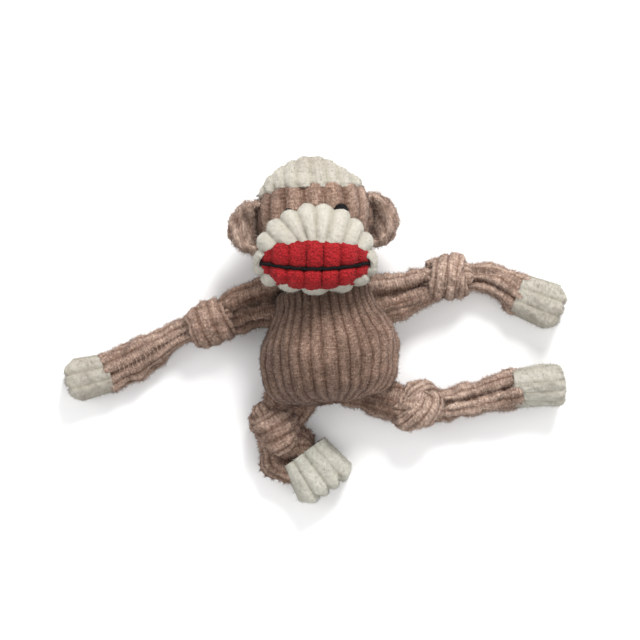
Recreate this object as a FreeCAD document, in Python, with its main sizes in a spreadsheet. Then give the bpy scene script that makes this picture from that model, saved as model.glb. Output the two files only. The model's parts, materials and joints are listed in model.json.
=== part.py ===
import FreeCAD, Part
import math
import os
import Sketcher

# A stuffed monkey that lies on its back.
# +Z is up out of the belly, +Y is towards the head, +X is the monkey's own left.
# The origin is the middle of the flat of the torso's back, on the surface it lies on.
# Lengths are in millimetres and angles in degrees.

BODY_SIZES = {
    "cloth": 2.0,
    "joint_gap": 0.4,
    "reach": 300.0,
    "torso_lean": 8.0,
    "torso_length": 58.0,
    "torso_half_width": 33.0,
    "torso_half_depth": 23.0,
    "torso_height": 20.0,
    "torso_crotch": -25.5,
    "seam_height": 19.0,
    "squeaker_radius": 15.0,
    "squeaker_half_height": 8.0,
    "squeaker_wall": 1.2,
    "squeaker_height": 22.0,
    "reed_radius": 3.0,
    "reed_length": 6.0,
    "reed_depth": 0.5,
    "reed_bore": 0.8,
    "neck_x": -4.6,
    "neck_y": 34.0,
    "neck_height": 18.0,
    "neck_radius": 8.0,
}
HEAD_SIZES = {
    "head_x": -7.0,
    "head_y": 62.5,
    "head_height": 20.5,
    "head_half_width": 27.0,
    "head_half_length": 28.0,
    "head_half_depth": 23.0,
    "crown_line": 74.0,
    "eye_spread": 11.5,
    "eye_y": 65.5,
    "eye_radius": 3.6,
    "eye_thickness": 0.8,
    "muzzle_y": 47.5,
    "muzzle_height": 42.0,
    "muzzle_half_width": 28.5,
    "muzzle_half_length": 20.8,
    "muzzle_half_depth": 17.0,
    "mouth_y": 39.6,
    "mouth_half_width": 25.5,
    "lip_height": 11.6,
    "lip_puff": 2.0,
    "lip_root_height": 37.0,
    "mouth_half_gap": 0.7,
    "ear_length": 12.0,
    "ear_half_width": 12.5,
    "ear_half_thickness": 3.2,
    "ear_clearance": 1.8,
    "ear_height": 22.0,
    "right_ear_y": 57.0,
    "left_ear_y": 60.5,
}
ARM_SIZES = {
    "arm_root_radius": 5.0,
    "arm_knot_radius": 11.0,
    "arm_sleeve_root": 6.0,
    "arm_sleeve_end": 7.5,
    "arm_paw_root": 5.5,
    "arm_paw_length": 7.0,
    "arm_paw_radius": 8.5,
}
LEG_SIZES = {
    "leg_root_radius": 5.5,
    "leg_knot_radius": 12.0,
    "leg_sleeve_root": 6.5,
    "leg_sleeve_end": 8.0,
    "leg_paw_root": 6.0,
    "leg_paw_length": 6.5,
    "leg_paw_radius": 9.5,
}
# Each limb starts at its root joint. A turn is the heading of one stretch, from +X towards +Y.
LIMB_SIZES = {
    "right_arm_root_x": -38.0,
    "right_arm_root_y": 19.3,
    "right_arm_root_height": 14.0,
    "right_arm_root_length": 2.4,
    "right_arm_knot_length": 22.0,
    "right_arm_sleeve_length": 37.0,
    "right_arm_root_turn": 198.0,
    "right_arm_knot_turn": 200.0,
    "right_arm_sleeve_turn": 209.5,
    "right_arm_paw_turn": 192.0,
    "left_arm_root_x": 33.3,
    "left_arm_root_y": 29.2,
    "left_arm_root_height": 14.0,
    "left_arm_root_length": 9.2,
    "left_arm_knot_length": 20.0,
    "left_arm_sleeve_length": 18.0,
    "left_arm_root_turn": 44.0,
    "left_arm_knot_turn": -5.0,
    "left_arm_sleeve_turn": -29.0,
    "left_arm_paw_turn": -25.0,
    "right_leg_root_x": -26.5,
    "right_leg_root_y": -22.3,
    "right_leg_root_height": 9.5,
    "right_leg_root_length": 2.0,
    "right_leg_knot_length": 16.0,
    "right_leg_sleeve_length": 9.0,
    "right_leg_root_turn": 170.0,
    "right_leg_knot_turn": 285.0,
    "right_leg_sleeve_turn": 345.0,
    "right_leg_paw_turn": 308.0,
    "left_leg_root_x": 24.0,
    "left_leg_root_y": -25.5,
    "left_leg_root_height": 11.0,
    "left_leg_root_length": 1.0,
    "left_leg_knot_length": 20.0,
    "left_leg_sleeve_length": 31.0,
    "left_leg_root_turn": -5.0,
    "left_leg_knot_turn": -3.0,
    "left_leg_sleeve_turn": 17.5,
    "left_leg_paw_turn": 15.0,
}
# Stations of the torso from crotch to neck: place along the length, share of width, share of depth.
TORSO_STATIONS = [
    (0.00, 0.27, 0.22),
    (0.04, 0.48, 0.46),
    (0.12, 0.72, 0.72),
    (0.25, 0.93, 0.94),
    (0.40, 1.00, 1.00),
    (0.56, 0.94, 0.98),
    (0.73, 0.85, 0.82),
    (0.85, 0.74, 0.62),
    (0.94, 0.57, 0.42),
    (1.00, 0.38, 0.28),
]
LIMBS = ("right_arm", "left_arm", "right_leg", "left_leg")
SIDES = (("right", -1), ("left", 1))
PAW_WORDS = {"arm": "hand", "leg": "foot"}
UPPER_WORDS = {"arm": "upper_arm", "leg": "thigh"}
SLEEVE_WORDS = {"arm": "forearm", "leg": "shin"}
KNOT_FOLDS = 3

UP = FreeCAD.Vector(0, 0, 1)
ALONG_X = FreeCAD.Vector(1, 0, 0)
# Names for a sketch's axes and for the ends and middle of its curves.
X_AXIS = -1
Y_AXIS = -2
START = 1
END = 2
MIDDLE = 3
# A profile is first drawn about these sizes, and its bound dimensions then set the real ones.
DRAFT_ROOT = 6.0
DRAFT_FOLD = 3.0
DRAFT_CORNER = FreeCAD.Vector(20, 7, 0)

os.makedirs("parts", exist_ok=True)
doc = FreeCAD.newDocument("stuffed_monkey")
sheet = doc.addObject("Spreadsheet::Sheet", "sizes")
sub_parts = []


def fill_sheet():
    """Write every driving dimension to its own named cell."""
    row = 1
    for group in (BODY_SIZES, HEAD_SIZES, ARM_SIZES, LEG_SIZES, LIMB_SIZES):
        for alias, value in group.items():
            sheet.set(f"A{row}", alias)
            sheet.set(f"B{row}", str(value))
            sheet.setAlias(f"B{row}", alias)
            row += 1
    doc.recompute()


def size(alias):
    """Read one driving dimension from the sheet."""
    return float(sheet.get(alias))


def sub_part(thing, label):
    """Mark an object of the document as one physical piece with its own file."""
    thing.Label = label
    sub_parts.append(thing)
    return thing


def primitive(kind, name, place=None, **expressions):
    """Add a Part primitive whose properties follow the sheet."""
    thing = doc.addObject(kind, name)
    if place is not None:
        thing.Placement = place
    for prop, expression in expressions.items():
        thing.setExpression(prop, expression)
    return thing


def cut(name, base, tool):
    """Take one solid away from another."""
    thing = doc.addObject("Part::Cut", name)
    thing.Base = base
    thing.Tool = tool
    return thing


def common(name, base, tool):
    """Keep what two solids share."""
    thing = doc.addObject("Part::Common", name)
    thing.Base = base
    thing.Tool = tool
    return thing


def fuse(name, shapes):
    """Join several solids into one."""
    thing = doc.addObject("Part::MultiFuse", name)
    thing.Shapes = shapes
    return thing


def at(x, y, z, turn=0.0):
    """A placement at a point, turned about the vertical."""
    return FreeCAD.Placement(FreeCAD.Vector(x, y, z), FreeCAD.Rotation(UP, turn))


def half_space(name, place):
    """A block that fills everything beyond its own local plane z = 0, on the side of +z."""
    half = size("reach") / 2
    block = primitive("Part::Box", name, Length="sizes.reach", Width="sizes.reach", Height="sizes.reach")
    block.Placement = place.multiply(at(-half, -half, 0))
    return block


def facing(point, direction):
    """A placement at a point whose local z looks along a direction."""
    return FreeCAD.Placement(point, FreeCAD.Rotation(UP, direction))


def along(point, direction):
    """A placement at a point whose local x runs along a direction, with its y kept level."""
    turn = math.degrees(math.atan2(direction.y, direction.x))
    dip = math.degrees(math.asin(-direction.z / direction.Length))
    level = FreeCAD.Rotation(UP, turn)
    tilt = FreeCAD.Rotation(FreeCAD.Vector(0, 1, 0), dip)
    return FreeCAD.Placement(point, level.multiply(tilt))


def plane_of(body, role):
    """Find one of a body's own origin planes."""
    return next(f for f in body.Origin.OriginFeatures if f.Role == role)


def rule(sketch, kind, *where):
    """Add one constraint to a sketch."""
    return sketch.addConstraint(Sketcher.Constraint(kind, *where))


def bound_rule(sketch, kind, name, expression, *where):
    """Add one dimension to a sketch and bind it to the sheet."""
    index = rule(sketch, kind, *where)
    sketch.renameConstraint(index, name)
    sketch.setExpression("Constraints." + name, expression)


def start_profile(name):
    """Begin a half profile over the local X axis: a quarter circle about the joint and a side."""
    body = doc.addObject("PartDesign::Body", name)
    sketch = body.newObject("Sketcher::SketchObject", name + "_profile")
    sketch.AttachmentSupport = (plane_of(body, "XY_Plane"), [""])
    sketch.MapMode = "FlatFace"
    circle = Part.Circle(FreeCAD.Vector(0, 0, 0), UP, DRAFT_ROOT)
    sketch.addGeometry(Part.ArcOfCircle(circle, math.pi / 2, math.pi))
    sketch.addGeometry(Part.LineSegment(FreeCAD.Vector(0, DRAFT_ROOT, 0), DRAFT_CORNER))
    return body, sketch


def finish_profile(body, sketch, root, reach, tip_top, tip_low):
    """Close a half profile along the axis, tie its corners together and turn it."""
    sketch.addGeometry(Part.LineSegment(reach, FreeCAD.Vector(-DRAFT_ROOT, 0, 0)))
    ball, side, tip, axis = range(4)
    rule(sketch, "Coincident", ball, START, side, START)
    rule(sketch, "Coincident", side, END, tip, tip_top)
    rule(sketch, "Coincident", tip, tip_low, axis, START)
    rule(sketch, "Coincident", axis, END, ball, END)
    rule(sketch, "Coincident", ball, MIDDLE, X_AXIS, START)
    rule(sketch, "PointOnObject", ball, START, Y_AXIS)
    rule(sketch, "PointOnObject", ball, END, X_AXIS)
    rule(sketch, "PointOnObject", tip, tip_low, X_AXIS)
    bound_rule(sketch, "Radius", "root", root, ball, DRAFT_ROOT)


def turn_profile(body, sketch, place):
    """Turn a finished profile all the way round its X axis."""
    doc.recompute()
    turn = body.newObject("PartDesign::Revolution", body.Name + "_turn")
    turn.Profile = (sketch, [""])
    turn.ReferenceAxis = (sketch, ["H_Axis"])
    turn.Angle = 360.0
    body.Placement = place
    return body


def open_sleeve(name, place, root, end, length):
    """A stretch of limb with a ball about its joint and a flat far end."""
    body, sketch = start_profile(name)
    low = FreeCAD.Vector(DRAFT_CORNER.x, 0, 0)
    sketch.addGeometry(Part.LineSegment(DRAFT_CORNER, low))
    finish_profile(body, sketch, root, low, START, END)
    tip = 2
    rule(sketch, "Vertical", tip)
    bound_rule(sketch, "DistanceY", "end", end, tip, END, tip, START, DRAFT_CORNER.y)
    bound_rule(sketch, "DistanceX", "length", length, X_AXIS, START, tip, END, DRAFT_CORNER.x)
    return turn_profile(body, sketch, place)


def round_sleeve(name, place, root, end, length):
    """A stretch of limb with a ball about its joint and another at its far end."""
    body, sketch = start_profile(name)
    middle = FreeCAD.Vector(DRAFT_CORNER.x, 0, 0)
    reach = FreeCAD.Vector(DRAFT_CORNER.x + DRAFT_CORNER.y, 0, 0)
    sketch.addGeometry(Part.ArcOfCircle(Part.Circle(middle, UP, DRAFT_CORNER.y), 0, math.pi / 2))
    finish_profile(body, sketch, root, reach, END, START)
    tip = 2
    rule(sketch, "PointOnObject", tip, MIDDLE, X_AXIS)
    rule(sketch, "Vertical", tip, MIDDLE, tip, END)
    bound_rule(sketch, "Radius", "end", end, tip, DRAFT_CORNER.y)
    bound_rule(sketch, "DistanceX", "length", length, X_AXIS, START, tip, MIDDLE, DRAFT_CORNER.x)
    return turn_profile(body, sketch, place)


def ellipsoid(name, place, half_width, half_length, half_depth):
    """A cushion shape with its own half sizes along X, Y and Z."""
    return primitive("Part::Ellipsoid", name, place,
                     Radius1=half_depth, Radius2=half_width, Radius3=half_length)


def two_panels(prefix, skin, place, front_label, back_label):
    """Part a skin at its side seam into the panel above the local plane z = 0 and the one below."""
    above = half_space(prefix + "_above", place)
    sub_part(common(front_label, skin, above), front_label)
    sub_part(cut(back_label, skin, above), back_label)


def step(point, turn, length):
    """Walk level along a heading."""
    heading = math.radians(turn)
    return point + FreeCAD.Vector(length * math.cos(heading), length * math.sin(heading), 0)


def make_knot(label, place, radius, length):
    """An overhand knot in the sleeve: three fat folds side by side, turned about its axis."""
    body = doc.addObject("PartDesign::Body", label)
    sketch = body.newObject("Sketcher::SketchObject", label + "_profile")
    sketch.AttachmentSupport = (plane_of(body, "XY_Plane"), [""])
    sketch.MapMode = "FlatFace"
    shoulder = DRAFT_CORNER.y
    far = 2 * KNOT_FOLDS * DRAFT_FOLD
    sketch.addGeometry(Part.LineSegment(FreeCAD.Vector(0, 0, 0), FreeCAD.Vector(0, shoulder, 0)))
    for fold in range(KNOT_FOLDS):
        middle = FreeCAD.Vector((2 * fold + 1) * DRAFT_FOLD, shoulder, 0)
        sketch.addGeometry(Part.ArcOfCircle(Part.Circle(middle, UP, DRAFT_FOLD), 0, math.pi))
    sketch.addGeometry(Part.LineSegment(FreeCAD.Vector(far, shoulder, 0), FreeCAD.Vector(far, 0, 0)))
    sketch.addGeometry(Part.LineSegment(FreeCAD.Vector(far, 0, 0), FreeCAD.Vector(0, 0, 0)))
    near_face = 0
    folds = range(1, KNOT_FOLDS + 1)
    far_face = KNOT_FOLDS + 1
    axis = KNOT_FOLDS + 2
    rule(sketch, "Coincident", near_face, START, X_AXIS, START)
    rule(sketch, "Vertical", near_face)
    rule(sketch, "Coincident", near_face, END, folds[0], END)
    for fold in folds[1:]:
        rule(sketch, "Coincident", fold - 1, START, fold, END)
        rule(sketch, "Equal", fold - 1, fold)
    for fold in folds:
        rule(sketch, "Horizontal", fold, MIDDLE, fold, START)
        rule(sketch, "Horizontal", fold, MIDDLE, fold, END)
    rule(sketch, "Coincident", folds[-1], START, far_face, START)
    rule(sketch, "Vertical", far_face)
    rule(sketch, "PointOnObject", far_face, END, X_AXIS)
    rule(sketch, "Coincident", far_face, END, axis, START)
    rule(sketch, "Coincident", axis, END, near_face, START)
    fold_radius = f"{length} / {2 * KNOT_FOLDS}"
    bound_rule(sketch, "Radius", "fold", fold_radius, folds[0], DRAFT_FOLD)
    bound_rule(sketch, "DistanceY", "shoulder", f"{radius} - {fold_radius}", near_face, START,
               near_face, END, shoulder)
    sub_part(turn_profile(body, sketch, place), label)


def make_paw(limb, kind, place):
    """A hand or foot: a top and an under panel sewn round its own stuffing."""
    word = PAW_WORDS[kind]
    side = limb.split("_")[0]
    outer = round_sleeve(f"{limb}_paw_outer", place, f"sizes.{kind}_paw_root",
                         f"sizes.{kind}_paw_radius", f"sizes.{kind}_paw_length")
    filling = round_sleeve(f"{limb}_paw_inner", place, f"sizes.{kind}_paw_root - sizes.cloth",
                           f"sizes.{kind}_paw_radius - sizes.cloth", f"sizes.{kind}_paw_length")
    skin = cut(f"{limb}_paw_skin", outer, filling)
    two_panels(f"{limb}_paw", skin, place, f"{side}_{word}_top_panel", f"{side}_{word}_under_panel")
    sub_part(filling, f"{side}_{word}_stuffing")


def make_limb(limb):
    """One arm or leg: a root stretch, a knot, a lower sleeve with its stuffing, and a paw."""
    side, kind = limb.split("_")
    gap = size("joint_gap")
    root_radius = size(f"{kind}_root_radius")
    knot_turn = size(f"{limb}_knot_turn")
    sleeve_turn = size(f"{limb}_sleeve_turn")

    root = FreeCAD.Vector(size(f"{limb}_root_x"), size(f"{limb}_root_y"), size(f"{limb}_root_height"))
    root_end = step(root, size(f"{limb}_root_turn"), size(f"{limb}_root_length"))
    knot_start = step(root_end, knot_turn, root_radius + gap / 2)
    knot_start.z = size(f"{kind}_knot_radius")
    knot_end = step(knot_start, knot_turn, size(f"{limb}_knot_length"))
    bend = step(knot_end, knot_turn, size(f"{kind}_sleeve_root") + gap)
    bend.z = size(f"{kind}_sleeve_end")
    seam = step(bend, sleeve_turn, size(f"{limb}_sleeve_length"))
    wrist = step(seam, sleeve_turn, size(f"{kind}_paw_root") + gap)
    wrist.z = size(f"{kind}_paw_radius")
    tip = step(wrist, size(f"{limb}_paw_turn"), size(f"{kind}_paw_length"))

    upper = round_sleeve(f"{limb}_root_piece", along(root, root_end - root),
                         f"sizes.{kind}_root_radius", f"sizes.{kind}_root_radius",
                         f"sizes.{limb}_root_length")
    knot_room = primitive("Part::Cylinder", f"{limb}_knot_room", facing(knot_start, knot_end - knot_start),
                          Radius=f"sizes.{kind}_knot_radius + sizes.joint_gap", Height="sizes.reach")
    sub_part(cut(f"{limb}_root_trimmed", upper, knot_room), f"{side}_{UPPER_WORDS[kind]}_sleeve")
    make_knot(f"{limb}_knot", along(knot_start, knot_end - knot_start), f"sizes.{kind}_knot_radius",
              f"sizes.{limb}_knot_length")

    sleeve_place = along(bend, seam - bend)
    outer = open_sleeve(f"{limb}_sleeve_outer", sleeve_place, f"sizes.{kind}_sleeve_root",
                        f"sizes.{kind}_sleeve_end", f"sizes.{limb}_sleeve_length")
    filling = open_sleeve(f"{limb}_sleeve_inner", sleeve_place, f"sizes.{kind}_sleeve_root - sizes.cloth",
                          f"sizes.{kind}_sleeve_end - sizes.cloth", f"sizes.{limb}_sleeve_length")
    sleeve_word = SLEEVE_WORDS[kind]
    sub_part(cut(f"{limb}_sleeve", outer, filling), f"{side}_{sleeve_word}_sleeve")
    sub_part(filling, f"{side}_{sleeve_word}_stuffing")
    make_paw(limb, kind, along(wrist, tip - wrist))

    print(f"{limb}: root {tuple(root)} bend {tuple(bend)} wrist {tuple(wrist)}")
    return root


def neck_point():
    """The middle of the neck, which the head turns and nods about."""
    return FreeCAD.Vector(size("neck_x"), size("neck_y"), size("neck_height"))


def neck_place():
    """The neck's frame: local z points from the torso towards the head."""
    lean = math.radians(size("torso_lean"))
    return facing(neck_point(), FreeCAD.Vector(-math.sin(lean), math.cos(lean), 0))


def neck_socket(name):
    """The hollow that the neck is sewn into, on the torso or on the head."""
    return primitive("Part::Sphere", name, neck_place(), Radius="sizes.neck_radius + sizes.joint_gap")


def floor_block(name, height):
    """A block that fills everything under a height."""
    down = FreeCAD.Rotation(ALONG_X, 180)
    return half_space(name, FreeCAD.Placement(FreeCAD.Vector(0, 0, height), down))


def torso_form(name, inset):
    """The pear-shaped form of the torso, drawn through an ellipse at each station."""
    inset_text = "sizes.cloth" if inset else "0"
    edge = size("cloth") if inset else 0.0
    frame = at(0, 0, size("torso_height"), size("torso_lean"))
    flat = FreeCAD.Rotation(ALONG_X, 90)
    length = size("torso_length") - 2 * edge
    rings = []
    for number, (share, wide, deep) in enumerate(TORSO_STATIONS):
        station = FreeCAD.Vector(0, size("torso_crotch") + edge + share * length, 0)
        place = frame.multiply(FreeCAD.Placement(station, flat))
        rings.append(primitive("Part::Ellipse", f"{name}_ring_{number}", place,
                               MajorRadius=f"sizes.torso_half_width * {wide} - {inset_text}",
                               MinorRadius=f"sizes.torso_half_depth * {deep} - {inset_text}"))
    form = doc.addObject("Part::Loft", name)
    form.Sections = rings
    form.Solid = True
    floor = floor_block(name + "_floor", edge)
    return cut(name + "_resting", form, floor)


def hip_sockets(roots):
    """The hollows under the torso that the two leg roots are sewn into."""
    sockets = []
    for limb in ("right_leg", "left_leg"):
        place = FreeCAD.Placement(roots[limb], FreeCAD.Rotation())
        sockets.append(primitive("Part::Sphere", f"{limb}_socket", place,
                                 Radius="sizes.leg_root_radius + sizes.joint_gap"))
    return sockets


def make_torso(roots):
    """Two torso panels sewn at the sides, their stuffing, and a squeaker in the belly."""
    outer = torso_form("torso_outer", False)
    inner = torso_form("torso_inner", True)
    openings = fuse("torso_openings", [neck_socket("torso_neck_socket")] + hip_sockets(roots))
    skin = cut("torso_skin", cut("torso_shell", outer, inner), openings)
    two_panels("torso", skin, at(0, 0, size("seam_height")), "torso_front_panel", "torso_back_panel")

    place = at(0, 0, size("squeaker_height"))
    bulb = ellipsoid("squeaker_outer", place, "sizes.squeaker_radius", "sizes.squeaker_radius",
                     "sizes.squeaker_half_height")
    air = ellipsoid("squeaker_air", place, "sizes.squeaker_radius - sizes.squeaker_wall",
                    "sizes.squeaker_radius - sizes.squeaker_wall",
                    "sizes.squeaker_half_height - sizes.squeaker_wall")
    reed_top = size("squeaker_height") + size("squeaker_half_height") - size("reed_depth")
    top = at(0, 0, reed_top - size("reed_length"))
    bore = primitive("Part::Cylinder", "squeaker_bore", top, Radius="sizes.reed_radius",
                     Height="sizes.squeaker_half_height * 2")
    reed_body = primitive("Part::Cylinder", "reed_body", top, Radius="sizes.reed_radius",
                          Height="sizes.reed_length")
    reed_hole = primitive("Part::Cylinder", "reed_hole", top, Radius="sizes.reed_bore",
                          Height="sizes.squeaker_half_height * 2")
    pocket = ellipsoid("squeaker_pocket", place, "sizes.squeaker_radius", "sizes.squeaker_radius",
                       "sizes.squeaker_half_height")
    sub_part(cut("belly_squeaker", cut("squeaker_hollow", bulb, air), bore), "belly_squeaker")
    sub_part(cut("squeaker_reed", reed_body, reed_hole), "squeaker_reed")
    filling = cut("torso_filling", cut("torso_filling_open", inner, openings), pocket)
    sub_part(filling, "torso_stuffing")


def make_neck():
    """The neck: a short sleeve of cloth round its stuffing."""
    outer = primitive("Part::Sphere", "neck_outer", neck_place(), Radius="sizes.neck_radius")
    core = primitive("Part::Cylinder", "neck_core", neck_place(),
                     Radius="sizes.neck_radius - sizes.cloth", Height="sizes.neck_radius * 4")
    core.Placement = neck_place().multiply(at(0, 0, -2 * size("neck_radius")))
    sub_part(cut("neck_sleeve", outer, core), "neck_sleeve")
    again = primitive("Part::Sphere", "neck_ball", neck_place(), Radius="sizes.neck_radius")
    sub_part(common("neck_stuffing", again, core), "neck_stuffing")
    print(f"neck: {tuple(neck_point())}")


def head_form(name, grow):
    """The round form of the head, grown or shrunk all over by an amount."""
    place = at(size("head_x"), size("head_y"), size("head_height"))
    return ellipsoid(name, place, f"sizes.head_half_width + {grow}", f"sizes.head_half_length + {grow}",
                     f"sizes.head_half_depth + {grow}")


def muzzle_form(name, grow):
    """The round form of the muzzle, grown or shrunk all over by an amount."""
    place = at(size("head_x"), size("muzzle_y"), size("muzzle_height"))
    return ellipsoid(name, place, f"sizes.muzzle_half_width + {grow}",
                     f"sizes.muzzle_half_length + {grow}", f"sizes.muzzle_half_depth + {grow}")


def make_head():
    """The head: a front and a back panel and a crown panel sewn round the stuffing."""
    outer = cut("head_resting", head_form("head_outer", "0"), floor_block("head_floor", 0))
    inner = cut("head_filled", head_form("head_inner", "(-sizes.cloth)"),
                floor_block("head_lining_floor", size("cloth")))
    socket = neck_socket("head_neck_socket")
    skin = cut("head_skin", cut("head_shell", outer, inner), socket)
    forward = FreeCAD.Vector(0, 1, 0)
    behind = half_space("crown_space", facing(FreeCAD.Vector(0, size("crown_line"), 0), forward))
    sub_part(common("crown_panel", skin, behind), "crown_panel")
    face = cut("face_skin", skin, behind)
    two_panels("head", face, at(0, 0, size("seam_height")), "head_front_panel", "head_back_panel")
    sub_part(cut("head_stuffing", inner, socket), "head_stuffing")


def mouth_outline(name):
    """The almond outline of the mouth, straight through the front of the muzzle."""
    bow = size("lip_height")
    radius = (size("mouth_half_width") ** 2 + bow ** 2) / (2 * bow)
    arcs = []
    for word, way in (("upper", -1), ("lower", 1)):
        middle = at(size("head_x"), size("mouth_y") + way * (radius - bow), size("lip_root_height"))
        arcs.append(primitive("Part::Cylinder", f"{name}_{word}_arc", middle, Height="sizes.reach",
                              Radius="(sizes.mouth_half_width ^ 2 + sizes.lip_height ^ 2)"
                                     " / (2 * sizes.lip_height)"))
    return common(name, arcs[0], arcs[1])


def make_muzzle():
    """The muzzle: an upper panel, a chin panel, two padded lips and the mouth line."""
    backing = fuse("muzzle_backing", [head_form("muzzle_head", "0"), neck_socket("muzzle_neck_socket")])
    inner = muzzle_form("muzzle_inner", "(-sizes.cloth)")
    outline = mouth_outline("mouth_outline")
    up_the_face = FreeCAD.Vector(0, 1, 0)
    mouth_top = size("mouth_y") + size("mouth_half_gap")
    mouth_low = size("mouth_y") - size("mouth_half_gap")
    over = half_space("over_mouth", facing(FreeCAD.Vector(0, mouth_top, 0), up_the_face))
    under = half_space("under_mouth", facing(FreeCAD.Vector(0, mouth_low, 0), -up_the_face))
    middle = half_space("muzzle_middle", facing(FreeCAD.Vector(0, size("mouth_y"), 0), up_the_face))

    shell = cut("muzzle_shell", cut("muzzle_wall", muzzle_form("muzzle_outer", "0"), inner), backing)
    skin = cut("muzzle_skin", shell, outline)
    sub_part(common("muzzle_upper_panel", skin, middle), "muzzle_upper_panel")
    sub_part(cut("chin_panel", skin, middle), "chin_panel")

    puff = cut("lip_wall", muzzle_form("lip_outer", "sizes.lip_puff"), inner)
    lips = common("lips", cut("lip_shell", puff, backing), outline)
    sub_part(common("upper_lip", lips, over), "upper_lip")
    sub_part(common("lower_lip", lips, under), "lower_lip")
    sub_part(cut("mouth_line", cut("mouth_below", lips, over), under), "mouth_line")
    sub_part(cut("muzzle_stuffing", inner, backing), "muzzle_stuffing")


def make_eye(side, way):
    """One embroidered oval eye, raised a little from the head's front panel."""
    patch = cut(f"{side}_eye_layer", head_form(f"{side}_eye_outer", "sizes.eye_thickness"),
                head_form(f"{side}_eye_head", "0"))
    clear = cut(f"{side}_eye_clear", patch, muzzle_form(f"{side}_eye_muzzle", "sizes.joint_gap"))
    place = at(size("head_x") + way * size("eye_spread"), size("eye_y"), size("head_height"))
    oval = primitive("Part::Cylinder", f"{side}_eye_oval", place, Radius="sizes.eye_radius",
                     Height="sizes.reach")
    sub_part(common(f"{side}_eye", clear, oval), f"{side}_eye")


def make_ear(side, way):
    """One ear: a front and a back layer sewn together round the rim."""
    ear_y = size(f"{side}_ear_y")
    along_head = (ear_y - size("head_y")) / size("head_half_length")
    reach = size("head_half_width") * math.sqrt(1 - along_head ** 2)
    hinge = FreeCAD.Vector(size("head_x") + way * (reach + size("ear_clearance")), ear_y,
                           size("ear_height"))
    whole = ellipsoid(f"{side}_ear_whole", FreeCAD.Placement(hinge, FreeCAD.Rotation()),
                      "sizes.ear_length", "sizes.ear_half_width", "sizes.ear_half_thickness")
    outward = half_space(f"{side}_ear_outward", facing(hinge, ALONG_X * way))
    ear = common(f"{side}_ear_half", whole, outward)
    two_panels(f"{side}_ear", ear, at(0, 0, size("ear_height")), f"{side}_ear_front", f"{side}_ear_back")
    print(f"{side} ear: {tuple(hinge)}")


def check_and_export():
    """Stop on any failed object, then write each piece to its own file."""
    doc.recompute()
    failed = [thing.Name for thing in doc.Objects if {"Invalid", "Error"} & set(thing.State)]
    if failed:
        raise RuntimeError(f"failed objects: {failed}")
    for thing in sub_parts:
        shape = thing.Shape
        if shape.isNull() or not shape.isValid() or not shape.Solids:
            raise RuntimeError(f"bad shape: {thing.Label}")
        print(f"{thing.Label}: {len(shape.Solids)} solid, {shape.Volume:.1f} mm3")
        shape.exportStep(f"parts/{thing.Label}.step")
    print(f"{len(sub_parts)} pieces")


fill_sheet()
limb_roots = {limb: make_limb(limb) for limb in LIMBS}
make_torso(limb_roots)
make_neck()
make_head()
make_muzzle()
for side_word, side_way in SIDES:
    make_eye(side_word, side_way)
    make_ear(side_word, side_way)
check_and_export()
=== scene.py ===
"""The looks of a knotted corduroy monkey that lies on its back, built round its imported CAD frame.

Lengths are in millimetres until a mesh is made. +Z is up, +Y is towards the head, +X is the monkey's left.
Cloth is made as grids of points: a row runs across the wales, the raised ribs of the corduroy, and a
column runs along them. A piece's "phase" counts wales, with a groove at each whole number.
"""

import json
import math

import bpy
import numpy as np
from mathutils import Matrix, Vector


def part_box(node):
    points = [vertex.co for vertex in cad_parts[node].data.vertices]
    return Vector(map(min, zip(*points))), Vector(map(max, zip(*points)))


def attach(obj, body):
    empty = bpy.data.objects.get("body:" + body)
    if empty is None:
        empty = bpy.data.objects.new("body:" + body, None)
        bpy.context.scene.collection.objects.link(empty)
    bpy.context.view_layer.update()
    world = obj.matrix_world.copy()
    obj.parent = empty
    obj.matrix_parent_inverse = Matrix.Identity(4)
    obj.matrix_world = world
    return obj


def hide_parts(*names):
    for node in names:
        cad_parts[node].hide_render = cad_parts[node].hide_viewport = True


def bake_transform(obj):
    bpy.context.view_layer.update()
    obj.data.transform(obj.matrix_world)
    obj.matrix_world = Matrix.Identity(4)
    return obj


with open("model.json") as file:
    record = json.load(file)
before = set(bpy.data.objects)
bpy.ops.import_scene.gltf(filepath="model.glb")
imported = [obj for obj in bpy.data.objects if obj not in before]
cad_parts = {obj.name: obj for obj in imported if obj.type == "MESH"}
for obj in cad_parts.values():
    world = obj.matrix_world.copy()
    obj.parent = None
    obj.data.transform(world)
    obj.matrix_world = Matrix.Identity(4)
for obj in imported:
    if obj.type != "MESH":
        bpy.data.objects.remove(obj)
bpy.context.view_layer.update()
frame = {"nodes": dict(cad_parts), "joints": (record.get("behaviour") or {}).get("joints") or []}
MM = 0.001
UP = np.array([0.0, 0.0, 1.0])
FLAT = np.array([1.0, 1.0, 0.0])
TURN = 2 * math.pi
FINE = 0.55             # the distance between rows of points
FLOOR_GAP = 0.1         # how far the lowest fibres and linings stay above the floor
CLOTH_GAP = 0.25        # the same for the outside of the cloth
RESTING = 0.6           # the height between groove and wale at which the cloth keeps its place
CLOTH = 1.4             # the thickness of a panel
PAW_CLOTH = 1.2
EAR_CLOTH = 0.9
BROAD_PITCH = 7.5       # the width of a wale on the head, the mouth and the paws
BODY_PITCH = 5.0
SLEEVE_PITCH = 4.6
KNOT_PITCH = 4.0
COLUMNS = 10            # the columns of points for each wale of the body and the limbs


# ---- places read from the frame

def node_box(name):
    """The lowest and highest corners of a CAD node, in millimetres."""
    low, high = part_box(name)
    return np.array(low) / MM, np.array(high) / MM


def joint_point(name):
    """The point that a joint turns about, in millimetres."""
    found = next(joint for joint in frame["joints"] if joint["name"] == name)
    return np.array(found["pos_m"]) / MM


# ---- curves and grids

def unit(vectors):
    return vectors / np.maximum(np.linalg.norm(vectors, axis=-1, keepdims=True), 1e-9)


def smooth_step(value):
    value = np.clip(value, 0, 1)
    return value * value * (3 - 2 * value)


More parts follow.
